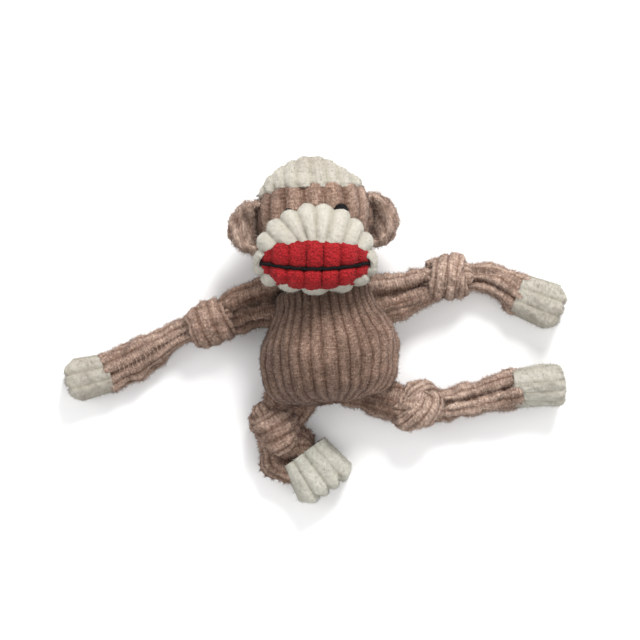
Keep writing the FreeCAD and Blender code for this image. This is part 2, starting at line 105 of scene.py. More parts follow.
def smooth_path(points, step):
    """Points about one step apart along a smooth curve through the given points."""
    points = np.array(points, float)
    before = 2 * points[0] - points[1]
    after = 2 * points[-1] - points[-2]
    held = np.vstack([before, points, after])
    share = np.linspace(0, 1, 24, endpoint=False)[:, None]
    spans = []
    for a, b, c, d in zip(held, held[1:], held[2:], held[3:]):
        slope_b = (c - a) / 2
        slope_c = (d - b) / 2
        spans.append((2 * share**3 - 3 * share**2 + 1) * b + (share**3 - 2 * share**2 + share) * slope_b
                     + (3 * share**2 - 2 * share**3) * c + (share**3 - share**2) * slope_c)
    dense = np.vstack(spans + [points[-1:]])
    return even_path(dense, step)


def even_path(dense, step):
    """The same line with its points evenly spaced."""
    run = np.concatenate([[0], np.cumsum(np.linalg.norm(np.diff(dense, axis=0), axis=1))])
    count = max(4, int(round(run[-1] / step)) + 1)
    at = np.linspace(0, run[-1], count)
    return np.stack([np.interp(at, run, dense[:, axis]) for axis in range(dense.shape[1])], axis=1)


def spread(values, count):
    """A few values given along a line, spread smoothly over that many points."""
    values = np.atleast_1d(np.array(values, float))
    if len(values) == 1:
        return np.full(count, values[0])
    place = np.linspace(0, len(values) - 1, count)
    index = np.minimum(place.astype(int), len(values) - 2)
    share = smooth_step(place - index)
    return values[index] * (1 - share) + values[index + 1] * share


def ripple(points, length, seed, waves=9):
    """Smooth noise from about -1 to 1 with features of the given length, the same on every run."""
    chance = np.random.default_rng(seed)
    total = np.zeros(points.shape[:-1])
    for _ in range(waves):
        direction = unit(chance.normal(size=3))
        pitch = length * chance.uniform(0.7, 1.6)
        total += np.sin(points @ direction * (TURN / pitch) + chance.uniform(0, TURN))
    return total / math.sqrt(waves)


def boxy(value, power):
    """A sine or cosine raised to a power, with its sign kept: below 1 it squares off the ring."""
    return np.sign(value) * np.abs(value) ** power


def wale_height(phase, roundness=0.8):
    """The height of the pile, 0 in a groove and 1 on a wale."""
    return np.abs(np.sin(math.pi * phase)) ** roundness


def normals(points, closed):
    """The outward direction at each point of a grid."""
    along = np.gradient(points, axis=0)
    if closed:
        across = (np.roll(points, -1, axis=1) - np.roll(points, 1, axis=1)) / 2
    else:
        across = np.gradient(points, axis=1)
    return unit(np.cross(along, across))


def row_distance(points):
    """How far along the columns each row is, on average, in millimetres."""
    steps = np.linalg.norm(np.diff(points, axis=0), axis=2).mean(axis=1)
    run = np.concatenate([[0], np.cumsum(steps)])
    return np.repeat(run[:, None], points.shape[1], axis=1)


class Skin:
    """One layer of cloth as a grid of points, with its wale count at each point."""

    def __init__(self, points, phase, closed, pitch):
        self.points = points
        self.phase = np.broadcast_to(phase, points.shape[:2]).astype(float)
        self.closed = closed
        self.pitch = pitch
        self.outward = 1
        self.along = row_distance(points)
        self.raised = wale_height(self.phase)
        # The shade painted into the cloth's colour at each point: 1 adds none, lower values paint it darker.
        self.painted_shade = np.ones(points.shape[:2])

    def normals(self):
        return normals(self.points, self.closed) * self.outward

    def push(self, distance):
        """Moves the cloth along its outward direction."""
        self.points = self.points + self.normals() * distance[..., None]

    def emboss(self, depth, seed, wrinkle=0.5, wrinkle_length=14, pile=0.1, held=1.0):
        """Raises the wales and gives the cloth its wrinkles and its uneven pile, where it isn't held flat."""
        push = wrinkle * ripple(self.points, wrinkle_length, seed)
        push = push + 0.35 * wrinkle * ripple(self.points, wrinkle_length / 2.6, seed + 1)
        push = push + pile * ripple(self.points, 2.3, seed + 2)
        push = push + 0.6 * pile * ripple(self.points, 1.3, seed + 3)
        uneven_wale = 1 + 0.25 * ripple(self.points, 9, seed + 4)
        self.push((push + depth * uneven_wale * (self.raised - RESTING)) * held)

    def face(self, direction, row, column):
        """Takes the side that faces a direction at one point of the grid as the outside."""
        if self.normals()[row, column] @ direction < 0:
            self.outward = -self.outward

    def rest_on_floor(self):
        """Flattens what would sink through the surface that the toy lies on."""
        self.points[..., 2] = np.maximum(self.points[..., 2], CLOTH_GAP)


def fold_depth(angle, folds):
    """How far folds sink at each angle. A fold is (angle, width in radians, share of the radius)."""
    depth = np.zeros(len(angle))
    for place, width, sink in folds:
        away = (angle - place + math.pi) % TURN - math.pi
        depth = depth + sink * np.exp(-((away / width) ** 2))
    return depth


def sweep(path, up, half_width, half_height, columns, powers=(1.0, 1.0), folds=()):
    """Rings round a path, each from its side over its top."""
    tangent = unit(np.gradient(path, axis=0))
    side = unit(np.cross(tangent, np.broadcast_to(up, path.shape)))
    top = np.cross(side, tangent)
    angle = np.linspace(0, TURN, columns, endpoint=False)
    radius = 1 - fold_depth(angle, folds)
    wide = spread(half_width, len(path))[:, None] * (boxy(np.cos(angle), powers[0]) * radius)
    high = spread(half_height, len(path))[:, None] * (boxy(np.sin(angle), powers[1]) * radius)
    return path[:, None] + side[:, None] * wide[..., None] + top[:, None] * high[..., None]


def shut_ends(points, rows=5):
    """Closes a tube with rows that round in to a small ring at both ends."""
    def closing(ring, inner):
        middle = ring.mean(axis=0)
        out = unit(middle - inner.mean(axis=0))
        reach = np.linalg.norm(ring - middle, axis=1).mean() * 0.5
        turn = np.linspace(0, math.pi / 2, rows + 1)[1:]
        return [middle + (ring - middle) * max(math.cos(t), 0.03) + out * reach * math.sin(t) for t in turn]
    first = closing(points[0], points[1])[::-1]
    last = closing(points[-1], points[-2])
    return np.concatenate([np.array(first), points, np.array(last)])


# ---- meshes

def grid_quads(rows, columns, closed, start=0):
    """The four corners of each cell of a grid of points."""
    last = columns if closed else columns - 1
    row, column = np.meshgrid(np.arange(rows - 1), np.arange(last), indexing="ij")
    beside = (column + 1) % columns
    corners = [row * columns + column, row * columns + beside,
               (row + 1) * columns + beside, (row + 1) * columns + column]
    return np.stack([c.ravel() for c in corners], axis=1) + start


def add_mesh(name, points, faces, material, values):
    """Makes a mesh object of equal-sided faces, with a named number at each point."""
    mesh = bpy.data.meshes.new(name)
    mesh.vertices.add(len(points))
    mesh.vertices.foreach_set("co", (points * MM).astype(np.float32).ravel())
    corners = faces.shape[1]
    mesh.loops.add(faces.size)
    mesh.loops.foreach_set("vertex_index", faces.astype(np.int32).ravel())
    mesh.polygons.add(len(faces))
    mesh.polygons.foreach_set("loop_start", np.arange(0, faces.size, corners, dtype=np.int32))
    mesh.update(calc_edges=True)
    mesh.validate()
    mesh.polygons.foreach_set("use_smooth", np.ones(len(mesh.polygons), bool))
    for key, value in values.items():
        attribute = mesh.attributes.new(key, "FLOAT", "POINT")
        attribute.data.foreach_set("value", value.astype(np.float32).ravel())
    mesh.materials.append(material)
    piece = bpy.data.objects.new(name, mesh)
    bpy.context.scene.collection.objects.link(piece)
    return piece


def skin_values(skins, repeats):
    """What the materials read at each point, repeated for each layer of points."""
    return {"wale": np.concatenate([np.tile(s.raised.ravel(), repeats) for s in skins]),
            "across": np.concatenate([np.tile((s.phase * s.pitch).ravel(), repeats) for s in skins]),
            "along": np.concatenate([np.tile(s.along.ravel(), repeats) for s in skins]),
            # The last value is the shade painted into the colour.
            "painted_shade": np.concatenate([np.tile(s.painted_shade.ravel(), repeats) for s in skins])}


def tube_mesh(name, skins, material):
    """Closed tubes, whose first and last rows are small rings that a last face fills."""
    faces, points, start = [], [], 0
    for skin in skins:
        rows, columns = skin.phase.shape
        quads = grid_quads(rows, columns, True, start)
        half = columns // 2
        step = np.arange(half - 1)
        for ring, flip in ((start, False), (start + (rows - 1) * columns, True)):
            far = ring + columns - 1 - step
            lid = np.stack([ring + step, ring + step + 1, far - 1, far], axis=1)
            quads = np.vstack([quads, lid[:, ::-1] if flip else lid])
        if skin.outward > 0:
            quads = quads[:, ::-1]
        faces.append(quads)
        points.append(skin.points.reshape(-1, 3))
        start += rows * columns
    return add_mesh(name, np.vstack(points), np.vstack(faces), material, skin_values(skins, 1))


def shell_mesh(name, skin, material, thickness):
    """One closed panel of cloth: the outer face, an inner face, and the cut edges between them."""
    inner = skin.points - skin.normals() * thickness
    inner[..., 2] = np.maximum(inner[..., 2], FLOOR_GAP)
    rows, columns = skin.phase.shape
    count = rows * columns
    index = np.arange(count).reshape(rows, columns)
    face = grid_quads(rows, columns, False)
    strips = [face, face[:, ::-1] + count]
    for edge in (index[0], index[-1][::-1], index[::-1, 0], index[:, -1]):
        strips.append(np.stack([edge[:-1], edge[:-1] + count, edge[1:] + count, edge[1:]], axis=1))
    faces = np.vstack(strips)
    if skin.outward > 0:
        faces = faces[:, ::-1]
    points = np.vstack([skin.points.reshape(-1, 3), inner.reshape(-1, 3)])
    return add_mesh(name, points, faces, material, skin_values([skin], 2))


BLADE_HALF_WIDTH = 0.085
BLADE_LEAN = 0.85
BLADE_BEND = 0.5


def fuzz_mesh(name, skins, material, density, length, seed):
    """Loose fibres of the pile: thin pointed blades that stand out of the cloth at random angles."""
    chance = np.random.default_rng(seed)
    roots, outs, painted_shades = [], [], []
    for skin in skins:
        down, across = np.gradient(skin.points, axis=(0, 1))
        cell = np.linalg.norm(np.cross(down, across), axis=2)
        wanted = int(cell.sum() * density)
        weight = (cell * (0.25 + skin.raised)).ravel()
        pick = chance.choice(weight.size, wanted, p=weight / weight.sum())
        roots.append(skin.points.reshape(-1, 3)[pick])
        outs.append(skin.normals().reshape(-1, 3)[pick])
        # Each fibre takes the shade painted on the cloth at its root.
        painted_shades.append(skin.painted_shade.ravel()[pick])
    root, out = np.vstack(roots), np.vstack(outs)
    count = len(root)
    lean = unit(out + BLADE_LEAN * chance.normal(size=(count, 3)))
    reach = length * chance.uniform(0.45, 1.15, count) ** 1.3
    side = unit(np.cross(lean, chance.normal(size=(count, 3))))
    half = BLADE_HALF_WIDTH * chance.uniform(0.7, 1.3, count)[:, None]
    base = root - out * 0.25
    bend = unit(lean + BLADE_BEND * chance.normal(size=(count, 3)))
    middle = base + lean * (reach * 0.6)[:, None]
    tip = middle + bend * (reach * 0.5)[:, None]
    edges = [base - side * half, base + side * half, middle + side * half * 0.7, middle - side * half * 0.7,
             tip + side * half * 0.15, tip - side * half * 0.15]
    points = np.stack(edges, axis=1)
    points[..., 2] = np.maximum(points[..., 2], FLOOR_GAP)
    start = np.arange(count)[:, None] * 6
    faces = np.vstack([start + np.array([0, 1, 2, 3]), start + np.array([3, 2, 4, 5])])
    tone = np.repeat(chance.uniform(0, 1, count), 6)
    painted_shade = np.repeat(np.concatenate(painted_shades), 6)
    return add_mesh(name, points.reshape(-1, 3), faces, material, {"tone": tone, "painted_shade": painted_shade})


# ---- materials

class Look:
    """A node material, built up socket by socket."""

    def __init__(self, name, surface):
        self.material = bpy.data.materials.new(name)
        self.material.use_nodes = True
        self.nodes = self.material.node_tree.nodes
        self.links = self.material.node_tree.links
        self.shader = self.nodes["Principled BSDF"]
        for socket, value in surface.items():
            self.shader.inputs[socket].default_value = value

    def add(self, kind, output, inputs, **settings):
        """Adds a node, whose inputs are numbers or sockets, and gives one of its outputs."""
        node = self.nodes.new(kind)
        for setting, value in settings.items():
            setattr(node, setting, value)
        for socket, value in inputs.items():
            if isinstance(value, (int, float)):
                node.inputs[socket].default_value = value
            else:
                self.links.new(value, node.inputs[socket])
        return node.outputs[output]

    def ramp(self, source, stops):
        """A colour ramp of (place, colour) stops."""
        node = self.nodes.new("ShaderNodeValToRGB")
        while len(node.color_ramp.elements) < len(stops):
            node.color_ramp.elements.new(0.5)
        for element, (place, colour) in zip(node.color_ramp.elements, stops):
            element.position = place
            element.color = (*colour, 1)
        self.links.new(source, node.inputs["Fac"])
        return node.outputs["Color"]

    def shade(self, colour, tones, share):
        """Multiplies a colour by some share of the tones."""
        return self.add("ShaderNodeMix", "Result", {"Factor": share, "A": colour, "B": tones},
                        data_type="RGBA", blend_type="MULTIPLY")

    def attribute(self, name):
        return self.add("ShaderNodeAttribute", "Fac", {}, attribute_name=name)

    def where(self):
        """The place on the object, in metres."""
        return self.add("ShaderNodeTexCoord", "Object", {})

    def on_cloth(self, stretch):
        """The place on the cloth, in millimetres across the wales and stretched millimetres along them."""
        along = self.calculate("MULTIPLY", self.attribute("along"), stretch)
        return self.add("ShaderNodeCombineXYZ", "Vector", {"X": self.attribute("across"), "Y": along})

    def calculate(self, operation, first, second, third=0.0):
        return self.add("ShaderNodeMath", "Value", {0: first, 1: second, 2: third}, operation=operation)

    def noise(self, vector, scale, detail=3, rough=0.6):
        return self.add("ShaderNodeTexNoise", "Fac",
                        {"Vector": vector, "Scale": scale, "Detail": detail, "Roughness": rough})

    def bump(self, height, strength, distance, under=None, invert=False):
        """A bump of the surface, laid over another bump if one is given."""
        inputs = {"Height": height, "Strength": strength, "Distance": distance}
        if under is not None:
            inputs["Normal"] = under
        return self.add("ShaderNodeBump", "Normal", inputs, invert=invert)

    def add_painted_shade(self, colour):
        """Darkens and deepens a colour by the shade painted into it at each point."""
        tones = self.ramp(self.attribute("painted_shade"), [(0.0, grey(0)), (0.6, (0.60, 0.53, 0.50)), (1.0, grey(1))])
        return self.shade(colour, tones, 1.0)

    def finish(self, sockets):
        """Links the shader's sockets, and gives the material."""
        for name, socket in sockets.items():
            self.links.new(socket, self.shader.inputs[name])
        return self.material


def grey(value):
    return (value, value, value)


def corduroy(name, groove, ridge, flecks, mottle, weave):
    """Velour corduroy: soft grooves darkened by painted shade, lighter wales with long streaks, a cross
    weave, cloudy wear, and the painted shade of each point.
    """
    look = Look(name, {"Roughness": 0.95, "Specular IOR Level": 0.1,
                       "Sheen Weight": 0.12, "Sheen Roughness": 0.5})
    streak = look.noise(look.on_cloth(stretch=0.10), scale=0.75, detail=4, rough=0.75)
    ladder = look.noise(look.on_cloth(stretch=3.4), scale=0.40, detail=3, rough=0.65)
    fibre = look.noise(look.on_cloth(stretch=0.5), scale=1.7, detail=2, rough=0.6)
    # The wale's height, made uneven with streaks, picks the colour: the darker groove colour is painted shade
    # in the grooves.
    uneven_wale = look.calculate("MULTIPLY_ADD", streak, 2.4, look.attribute("wale"))
    half_way = tuple(0.5 * (g + r) for g, r in zip(groove, ridge))
    height = look.calculate("MULTIPLY", uneven_wale, 0.4)
    colour = look.ramp(height, [(0.42, groove), (0.72, half_way), (0.98, ridge)])
    colour = look.shade(colour, look.ramp(fibre, flecks), share=0.85)
    colour = look.shade(colour, look.ramp(ladder, flecks), share=0.95)
    cloud = look.noise(look.where(), scale=110)
    colour = look.shade(colour, look.ramp(cloud, mottle), share=0.9)
    threads = look.bump(ladder, strength=weave, distance=0.0006)
    pile = look.noise(look.where(), scale=1400, rough=0.7)
    return look.finish({"Base Color": look.add_painted_shade(colour),
                        "Normal": look.bump(pile, strength=0.6, distance=0.0004, under=threads)})


def terry():
    """Red towelling: small raised loops over ribs, with shade painted into the grooves of the ribs and
    between the loops.
    """
    look = Look("red_terry_cloth", {"Roughness": 0.85, "Specular IOR Level": 0.2, "Sheen Weight": 0.03})
    # The dark groove colour is painted shade between the ribs.
    colour = look.ramp(look.attribute("wale"), [(0.10, (0.07, 0.002, 0.003)), (0.50, (0.36, 0.007, 0.010)),
                                                (0.95, (0.47, 0.016, 0.021))])
    loops = look.add("ShaderNodeTexVoronoi", "Distance", {"Vector": look.where(), "Scale": 1050})
    # Painted shade between the raised loops.
    colour = look.shade(colour, look.ramp(loops, [(0.0, grey(1)), (0.75, (0.42, 0.36, 0.36))]), share=0.85)
    cloud = look.noise(look.where(), scale=140)
    colour = look.shade(colour, look.ramp(cloud, [(0.3, grey(0.75)), (0.7, grey(1))]), share=0.8)
    return look.finish({"Base Color": colour,
                        "Normal": look.bump(loops, strength=0.9, distance=0.0007, invert=True)})


def thread(name, dark, light, roughness):
    """Twisted thread with fine diagonal strands."""
    look = Look(name, {"Roughness": roughness, "Specular IOR Level": 0.15})
    strands = look.add("ShaderNodeTexWave", "Fac", {"Vector": look.where(), "Scale": 420, "Distortion": 1.5},
                       bands_direction="DIAGONAL")
    return look.finish({"Base Color": look.ramp(strands, [(0.2, dark), (0.8, light)]),
                        "Normal": look.bump(strands, strength=0.6, distance=0.0003)})


def fibres(name, stops):
    """Loose pile fibres, each of its own tone, darkened by the painted shade of the cloth they stand on."""
    look = Look(name, {"Roughness": 0.9, "Specular IOR Level": 0.1})
    return look.finish({"Base Color": look.add_painted_shade(look.ramp(look.attribute("tone"), stops))})


def squeaker_plastic():
    """Milky moulded plastic with faint flow marks."""
    look = Look("milky_plastic", {})
    flow = look.noise(look.where(), scale=160, detail=4)
    return look.finish({"Base Color": look.ramp(flow, [(0.3, (0.70, 0.71, 0.70)), (0.7, (0.82, 0.83, 0.81))]),
                        "Roughness": look.ramp(flow, [(0.3, grey(0.30)), (0.7, grey(0.45))])})


# The groove colours are painted shade in the grooves between the wales.
BROWN = corduroy("brown_corduroy_cloth", groove=(0.165, 0.098, 0.070), ridge=(0.51, 0.385, 0.312),
                 flecks=[(0.34, (0.62, 0.59, 0.57)), (0.46, (0.88, 0.87, 0.86)), (0.56, grey(1.04)),
                         (0.68, (1.40, 1.44, 1.47))],
                 mottle=[(0.32, (0.72, 0.70, 0.68)), (0.50, grey(0.98)), (0.68, grey(1.20))], weave=0.6)
WHITE = corduroy("white_corduroy_cloth", groove=(0.37, 0.355, 0.295), ridge=(0.50, 0.485, 0.43),
                 flecks=[(0.34, (0.94, 0.94, 0.93)), (0.50, grey(1)), (0.66, grey(1.02)), (0.8, grey(1.05))],
                 mottle=[(0.32, grey(0.97)), (0.50, grey(1)), (0.68, grey(1.02))], weave=0.3)
RED = terry()
BLACK = thread("black_thread_twist", (0.002, 0.002, 0.002), (0.007, 0.006, 0.007), roughness=0.8)
STITCH = thread("taupe_thread_twist", (0.30, 0.21, 0.16), (0.50, 0.38, 0.31), roughness=0.7)
BROWN_PILE = fibres("brown_fibres", [(0.0, (0.12, 0.075, 0.055)), (0.45, (0.29, 0.205, 0.165)),
                                     (0.85, (0.44, 0.34, 0.285)), (1.0, (0.58, 0.49, 0.43))])
WHITE_PILE = fibres("white_fibres", [(0.0, (0.34, 0.325, 0.28)), (1.0, (0.50, 0.485, 0.44))])
RED_PILE = fibres("red_fibres", [(0.0, (0.20, 0.006, 0.010)), (1.0, (0.48, 0.02, 0.03))])
PLASTIC = squeaker_plastic()
CLOTHS = {"brown_corduroy": (BROWN, BROWN_PILE), "white_corduroy": (WHITE, WHITE_PILE),
          "red_terry": (RED, RED_PILE)}


# ---- fixing pieces to the frame

def hold(piece, place):
    """Fixes a piece to one body; for a place between two bodies, (body, body, start, end), it only bakes in
    the piece's transform.
    """
    if len(place) == 1:
        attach(piece, place[0])
    else:
        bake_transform(piece)


def finish_piece(piece, place, nodes):
    """Fixes a piece in place, and hides the CAD parts that it stands for."""
    hold(piece, place)
    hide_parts(*nodes)


def sew(name, skins, kind, place, nodes, thickness=0.0, pile=None):
    """Makes a padded cloth piece: a panel of some thickness, or tubes.

    Pile is (fibres on a square millimetre, their length, seed).
    """
    cloth, fibre = CLOTHS[kind]
    if thickness:
        piece = shell_mesh(name, skins[0], cloth, thickness)
    else:
        piece = tube_mesh(name, skins, cloth)
    finish_piece(piece, place, nodes)
    if pile:
        fluff = fuzz_mesh(name + "_pile", skins, fibre, *pile)
        hold(fluff, place)


# ---- torso

TORSO_LEAN = math.radians(8)
SPINE = np.array([-math.sin(TORSO_LEAN), math.cos(TORSO_LEAN), 0])
TORSO_SIDE = np.array([math.cos(TORSO_LEAN), math.sin(TORSO_LEAN), 0])
# Up the spine: (share of the length, share of the width, share of the depth).
TORSO_SHAPE = [(0.00, 0.01, 0.01), (0.006, 0.24, 0.24), (0.02, 0.46, 0.42), (0.06, 0.74, 0.64),
               (0.13, 0.89, 0.82), (0.22, 0.955, 0.93), (0.36, 1.00, 1.00), (0.50, 0.965, 0.98),
               (0.62, 0.87, 0.89), (0.74, 0.76, 0.76), (0.84, 0.70, 0.62), (0.93, 0.68, 0.48),
               (0.98, 0.50, 0.32), (1.00, 0.01, 0.01)]
TORSO_WALES = 34
BELLY_SHIFT = 2.6
SIDE_SEAM_WIDTH = 0.22
SIDE_SEAM_DEPTH = 1.6


def torso_grid():
    """The stuffed body as rings up the spine, flat underneath where it rests."""
    low, high = node_box("torso_front_panel")
    seam = low[2]
    half_width = (high[0] - low[0]) / 2 + 0.4
    half_depth = high[2] - seam
    length = high[1] - low[1] - 3.5
    middle = np.array([(low[0] + high[0]) / 2, (low[1] + high[1]) / 2 + 0.6, seam])
    station = (1 - np.cos(np.linspace(0.0, math.pi, int(length / FINE)))) / 2
    dense = smooth_path(np.array(TORSO_SHAPE) * [length, half_width, half_depth], 0.5)
    wide = np.interp(station * length, dense[:, 0], dense[:, 1])[:, None]
    deep = np.interp(station * length, dense[:, 0], dense[:, 2])[:, None]
    angle = even_angles(TORSO_WALES * COLUMNS, half_width, half_depth)
    x = wide * boxy(np.cos(angle), 0.9)
    z = deep * boxy(np.sin(angle), 0.95)
    z = np.where(z < 0, z * (seam - 0.4) / half_depth, z)
    low_down = 1 - station[:, None]
    x = x - BELLY_SHIFT * low_down ** 1.5
    y = (station[:, None] - 0.5) * length
    y = y + 1.6 * np.cos(math.pi * x / half_width) * np.exp(-(low_down / 0.2) ** 2)
    return middle + TORSO_SIDE * x[..., None] + SPINE * y[..., None] + UP * z[..., None], angle


def even_angles(columns, width, depth):
    """Angles round an ellipse at equal distances along it, from the left side over the top."""
    angle = np.linspace(0, TURN, 2001)
    steps = np.hypot(np.diff(width * np.cos(angle)), np.diff(depth * np.sin(angle)))
    run = np.concatenate([[0], np.cumsum(steps)])
    return np.interp(np.linspace(0, run[-1], columns, endpoint=False), run, angle)


def make_torso():
    points, angle = torso_grid()
    columns = points.shape[1]
    whole = Skin(points, np.arange(columns) / columns * TORSO_WALES, True, BODY_PITCH)
    from_seam = np.minimum(np.abs(np.sin(angle)), SIDE_SEAM_WIDTH) / SIDE_SEAM_WIDTH
    whole.push(-SIDE_SEAM_DEPTH * (1 - smooth_step(from_seam)) * np.ones(points.shape[:2]))
    whole.emboss(0.55, 11, wrinkle=0.7, wrinkle_length=18)
    whole.rest_on_floor()
    # Painted shade: the torso is darkened all over, more on its right side (-X) and more towards the head,
    # where the head shades it, with a little random tone.
    side = whole.points[..., 0] / np.abs(whole.points[..., 0]).max()
    painted_shade_under_head = smooth_step((whole.points[..., 1] - 8) / 16)
    whole.painted_shade = 0.455 + 0.10 * side - 0.07 * painted_shade_under_head + 0.06 * ripple(whole.points, 30, 12)
    half = columns // 2
    for name, skin, nodes, seed in (
            ("torso_front", slice_skin(whole, 0, half + 1), ("torso_front_panel", "torso_stuffing"), 21),
            ("torso_back", slice_skin(whole, half, columns + 1), ("torso_back_panel",), 22)):
        sew(name, [skin], "brown_corduroy", ("torso",), nodes, CLOTH, (1.6, 1.5, seed))


def slice_skin(skin, first, last):
    """Some of a skin's columns as a panel of their own."""
    count = skin.phase.shape[1]
    take = np.arange(first, last) % count
    phase = np.arange(first, last) / count * round(skin.phase.max())
    part = Skin(skin.points[:, take], phase, False, skin.pitch)
    part.along = skin.along[:, take]
    part.painted_shade = skin.painted_shade[:, take]
    return part


def make_neck():
    low, high = node_box("neck_sleeve")
    middle = (low + high) / 2
    radius = (high[2] - low[2]) / 2
    path = smooth_path([middle - SPINE * 9, middle, middle + SPINE * 9], FINE)
    points = shut_ends(sweep(path, UP, radius, radius, 10 * COLUMNS))
    skin = Skin(points, np.arange(10 * COLUMNS) / COLUMNS, True, BODY_PITCH)
    skin.emboss(1.0, 41)
    place = ("torso", "neck", middle - SPINE * 5, middle)
    sew("neck_tube", [skin], "brown_corduroy", place, ("neck_sleeve", "neck_stuffing"))


# ---- head

def head_sizes():
    """The middle and the half sizes of the head, and the line where its crown starts."""
    low, high = node_box("head_front_panel")
    back_low, _ = node_box("head_back_panel")
    crown_low, crown_high = node_box("crown_panel")
    middle = np.array([(low[0] + high[0]) / 2, (back_low[1] + crown_high[1]) / 2, (crown_high[2] + 1) / 2])
    half = np.array([(high[0] - low[0]) / 2, (crown_high[1] - back_low[1]) / 2, (high[2] + 1) / 2])
    return middle, half, crown_low[1]


HEAD_MIDDLE, HEAD_HALF, CROWN_LINE = head_sizes()
HEAD_WALES = 9
HEAD_ROWS = 150
HEAD_COLUMNS = HEAD_WALES * 12 + 1
CROWN_DROP = 1.8
TEMPLE_DROP = 5.2
SEAM_LAP = 0.05         # how far, as an angle, the brown panels run on under the crown's edge


def head_point(p, q, grow):
    """A point of the head at an angle p to its own left and an angle q from the face over the crown."""
    half = HEAD_HALF + grow
    y = HEAD_MIDDLE[1] + half[1] * np.cos(p) * np.sin(q)
    upper = smooth_step((y - HEAD_MIDDLE[1] - 3) / HEAD_HALF[1])
    y = y - CROWN_DROP * upper
    x = HEAD_MIDDLE[0] + half[0] * boxy(np.sin(p), 0.95) * (1 - 0.13 * upper) - 2.2 * upper
    z = HEAD_MIDDLE[2] + half[2] * np.cos(p) * np.cos(q)
    return np.stack([x, y, np.maximum(z, 0.3 - 0.2 * grow)], axis=-1)


def crown_edge(p):
    """The angle q of the crown's front edge at each p. The edge drops down at the right temple."""
    edge = CROWN_LINE + 2.2 + 0.6 * np.sin(p) - TEMPLE_DROP * np.clip(-np.sin(p), 0, 1) ** 2
    rise = (edge - HEAD_MIDDLE[1]) / (HEAD_HALF[1] * np.maximum(np.cos(p), 0.05))
    return np.arcsin(np.clip(rise, -1, 1))


def under_crown(p):
    return np.minimum(crown_edge(p) + SEAM_LAP, 1.62)


def head_panel(name, start, end, kind, nodes, seed, grow=0.0, scallop=0.0, reach=(-89, 89), painted_shade=0.63,
               depth=0.8):
    """A panel of the head between two q angles, which may change with p. Its wales run over the head."""
    p = np.linspace(math.radians(reach[0]), math.radians(reach[1]), HEAD_COLUMNS)
    share = np.linspace(0, 1, HEAD_ROWS)[:, None]
    q = start(p) * (1 - share) + end(p) * share
    phase = np.linspace(0, HEAD_WALES, HEAD_COLUMNS)
    points = head_point(np.broadcast_to(p, q.shape), q, grow)
    skin = Skin(points, phase, False, BROAD_PITCH)
    middle = HEAD_ROWS // 2, HEAD_COLUMNS // 2
    skin.face(points[middle] - HEAD_MIDDLE, *middle)
    if scallop:
        edge = np.exp(-((share * (end(p) - start(p)) * HEAD_HALF[1]) / 1.6) ** 2)
        skin.push(-1.0 * edge)
        outwards = unit(points[0] - points[3])
        skin.points = skin.points + (edge * wale_height(phase) * scallop)[..., None] * outwards
    skin.emboss(depth, seed, wrinkle=0.6, wrinkle_length=13)
    skin.rest_on_floor()
    # Painted shade over the whole panel, with a little random tone.
    skin.painted_shade = painted_shade + 0.06 * ripple(skin.points, 22, seed + 8)
    sew(name, [skin], kind, ("head",), nodes, CLOTH, (1.8, 1.4, seed + 5))


def make_head():
    chin_angle = math.radians(-92)
    head_panel("head_front", lambda p: np.full_like(p, chin_angle), under_crown, "brown_corduroy",
               ("head_front_panel", "head_stuffing"), 31)
    head_panel("head_back", lambda p: math.pi - under_crown(p), lambda p: np.full_like(p, chin_angle + TURN),
               "brown_corduroy", ("head_back_panel",), 32)
    head_panel("crown", crown_edge, lambda p: math.pi - crown_edge(p), "white_corduroy", ("crown_panel",), 33,
               grow=1.0, scallop=0.4, reach=(-72, 57), painted_shade=0.81, depth=0.65)


# ---- muzzle and mouth

MUZZLE_BASE = 42.0      # the height of the middle of the muzzle's dome


def muzzle_sizes():
    """The middle and the half sizes of the muzzle's dome, and the line of the mouth."""
    low, high = node_box("muzzle_upper_panel")
    chin_low, _ = node_box("chin_panel")
    middle = np.array([(low[0] + high[0]) / 2, (high[1] + chin_low[1]) / 2, MUZZLE_BASE])
    half = np.array([(high[0] - low[0]) / 2, (high[1] - chin_low[1]) / 2, high[2] - MUZZLE_BASE])
    return middle, half, low[1]


MUZZLE_MIDDLE, MUZZLE_HALF, MOUTH_Y = muzzle_sizes()
LIP_LOW, LIP_HIGH = node_box("upper_lip")
LOWER_LIP_LOW, _ = node_box("lower_lip")
LIP_MIDDLE = (LIP_LOW[0] + LIP_HIGH[0]) / 2
LIP_HALF = (LIP_HIGH[0] - LIP_LOW[0]) / 2
LIP_WALES = 7
LIP_END = 3.2           # how far a lip's blunt ends reach from the mouth line
LIP_ROWS = 64
MOUTH_SAG = 3.0
# Where along the lip, from -1 to 1, the grooves of the upper panel start.
RIB_STARTS = (-1.0, -0.92, -0.63, -0.21, -0.09, 0.04, 0.18, 0.50, 0.75, 0.94, 1.0)
TUCK = 0.36             # how far the muzzle's panels turn under, as a share of their height


def muzzle_height(x, y):
    """The height of the muzzle's dome over a point of its outline."""
    out = ((x - MUZZLE_MIDDLE[0]) / MUZZLE_HALF[0]) ** 2 + ((y - MUZZLE_MIDDLE[1]) / MUZZLE_HALF[1]) ** 2
    return MUZZLE_MIDDLE[2] + MUZZLE_HALF[2] * np.sqrt(np.clip(1 - out, 0, 1))


def lip_height(x, upper):
    """How far a lip reaches from the mouth line at each place along it: rounded, with blunt ends."""
    share = np.clip(np.abs(x - LIP_MIDDLE) / LIP_HALF, 0, 1)
    tall = LIP_HIGH[1] - MOUTH_Y + 1.6 if upper else MOUTH_Y - LOWER_LIP_LOW[1] - 2.6
    return LIP_END + (tall - LIP_END) * np.sqrt(1 - share**2)


def mouth_line_y(x):
    """The mouth line sags a little in its middle."""
    share = (x - LIP_MIDDLE) / LIP_HALF
    return MOUTH_Y + 0.6 - MOUTH_SAG * (1 - share**2)


def panel_skin(x, y, z, phase, pitch):
    """An open panel from the places of its points."""
    return Skin(np.stack(np.broadcast_arrays(x, y, z), axis=-1), phase, False, pitch)


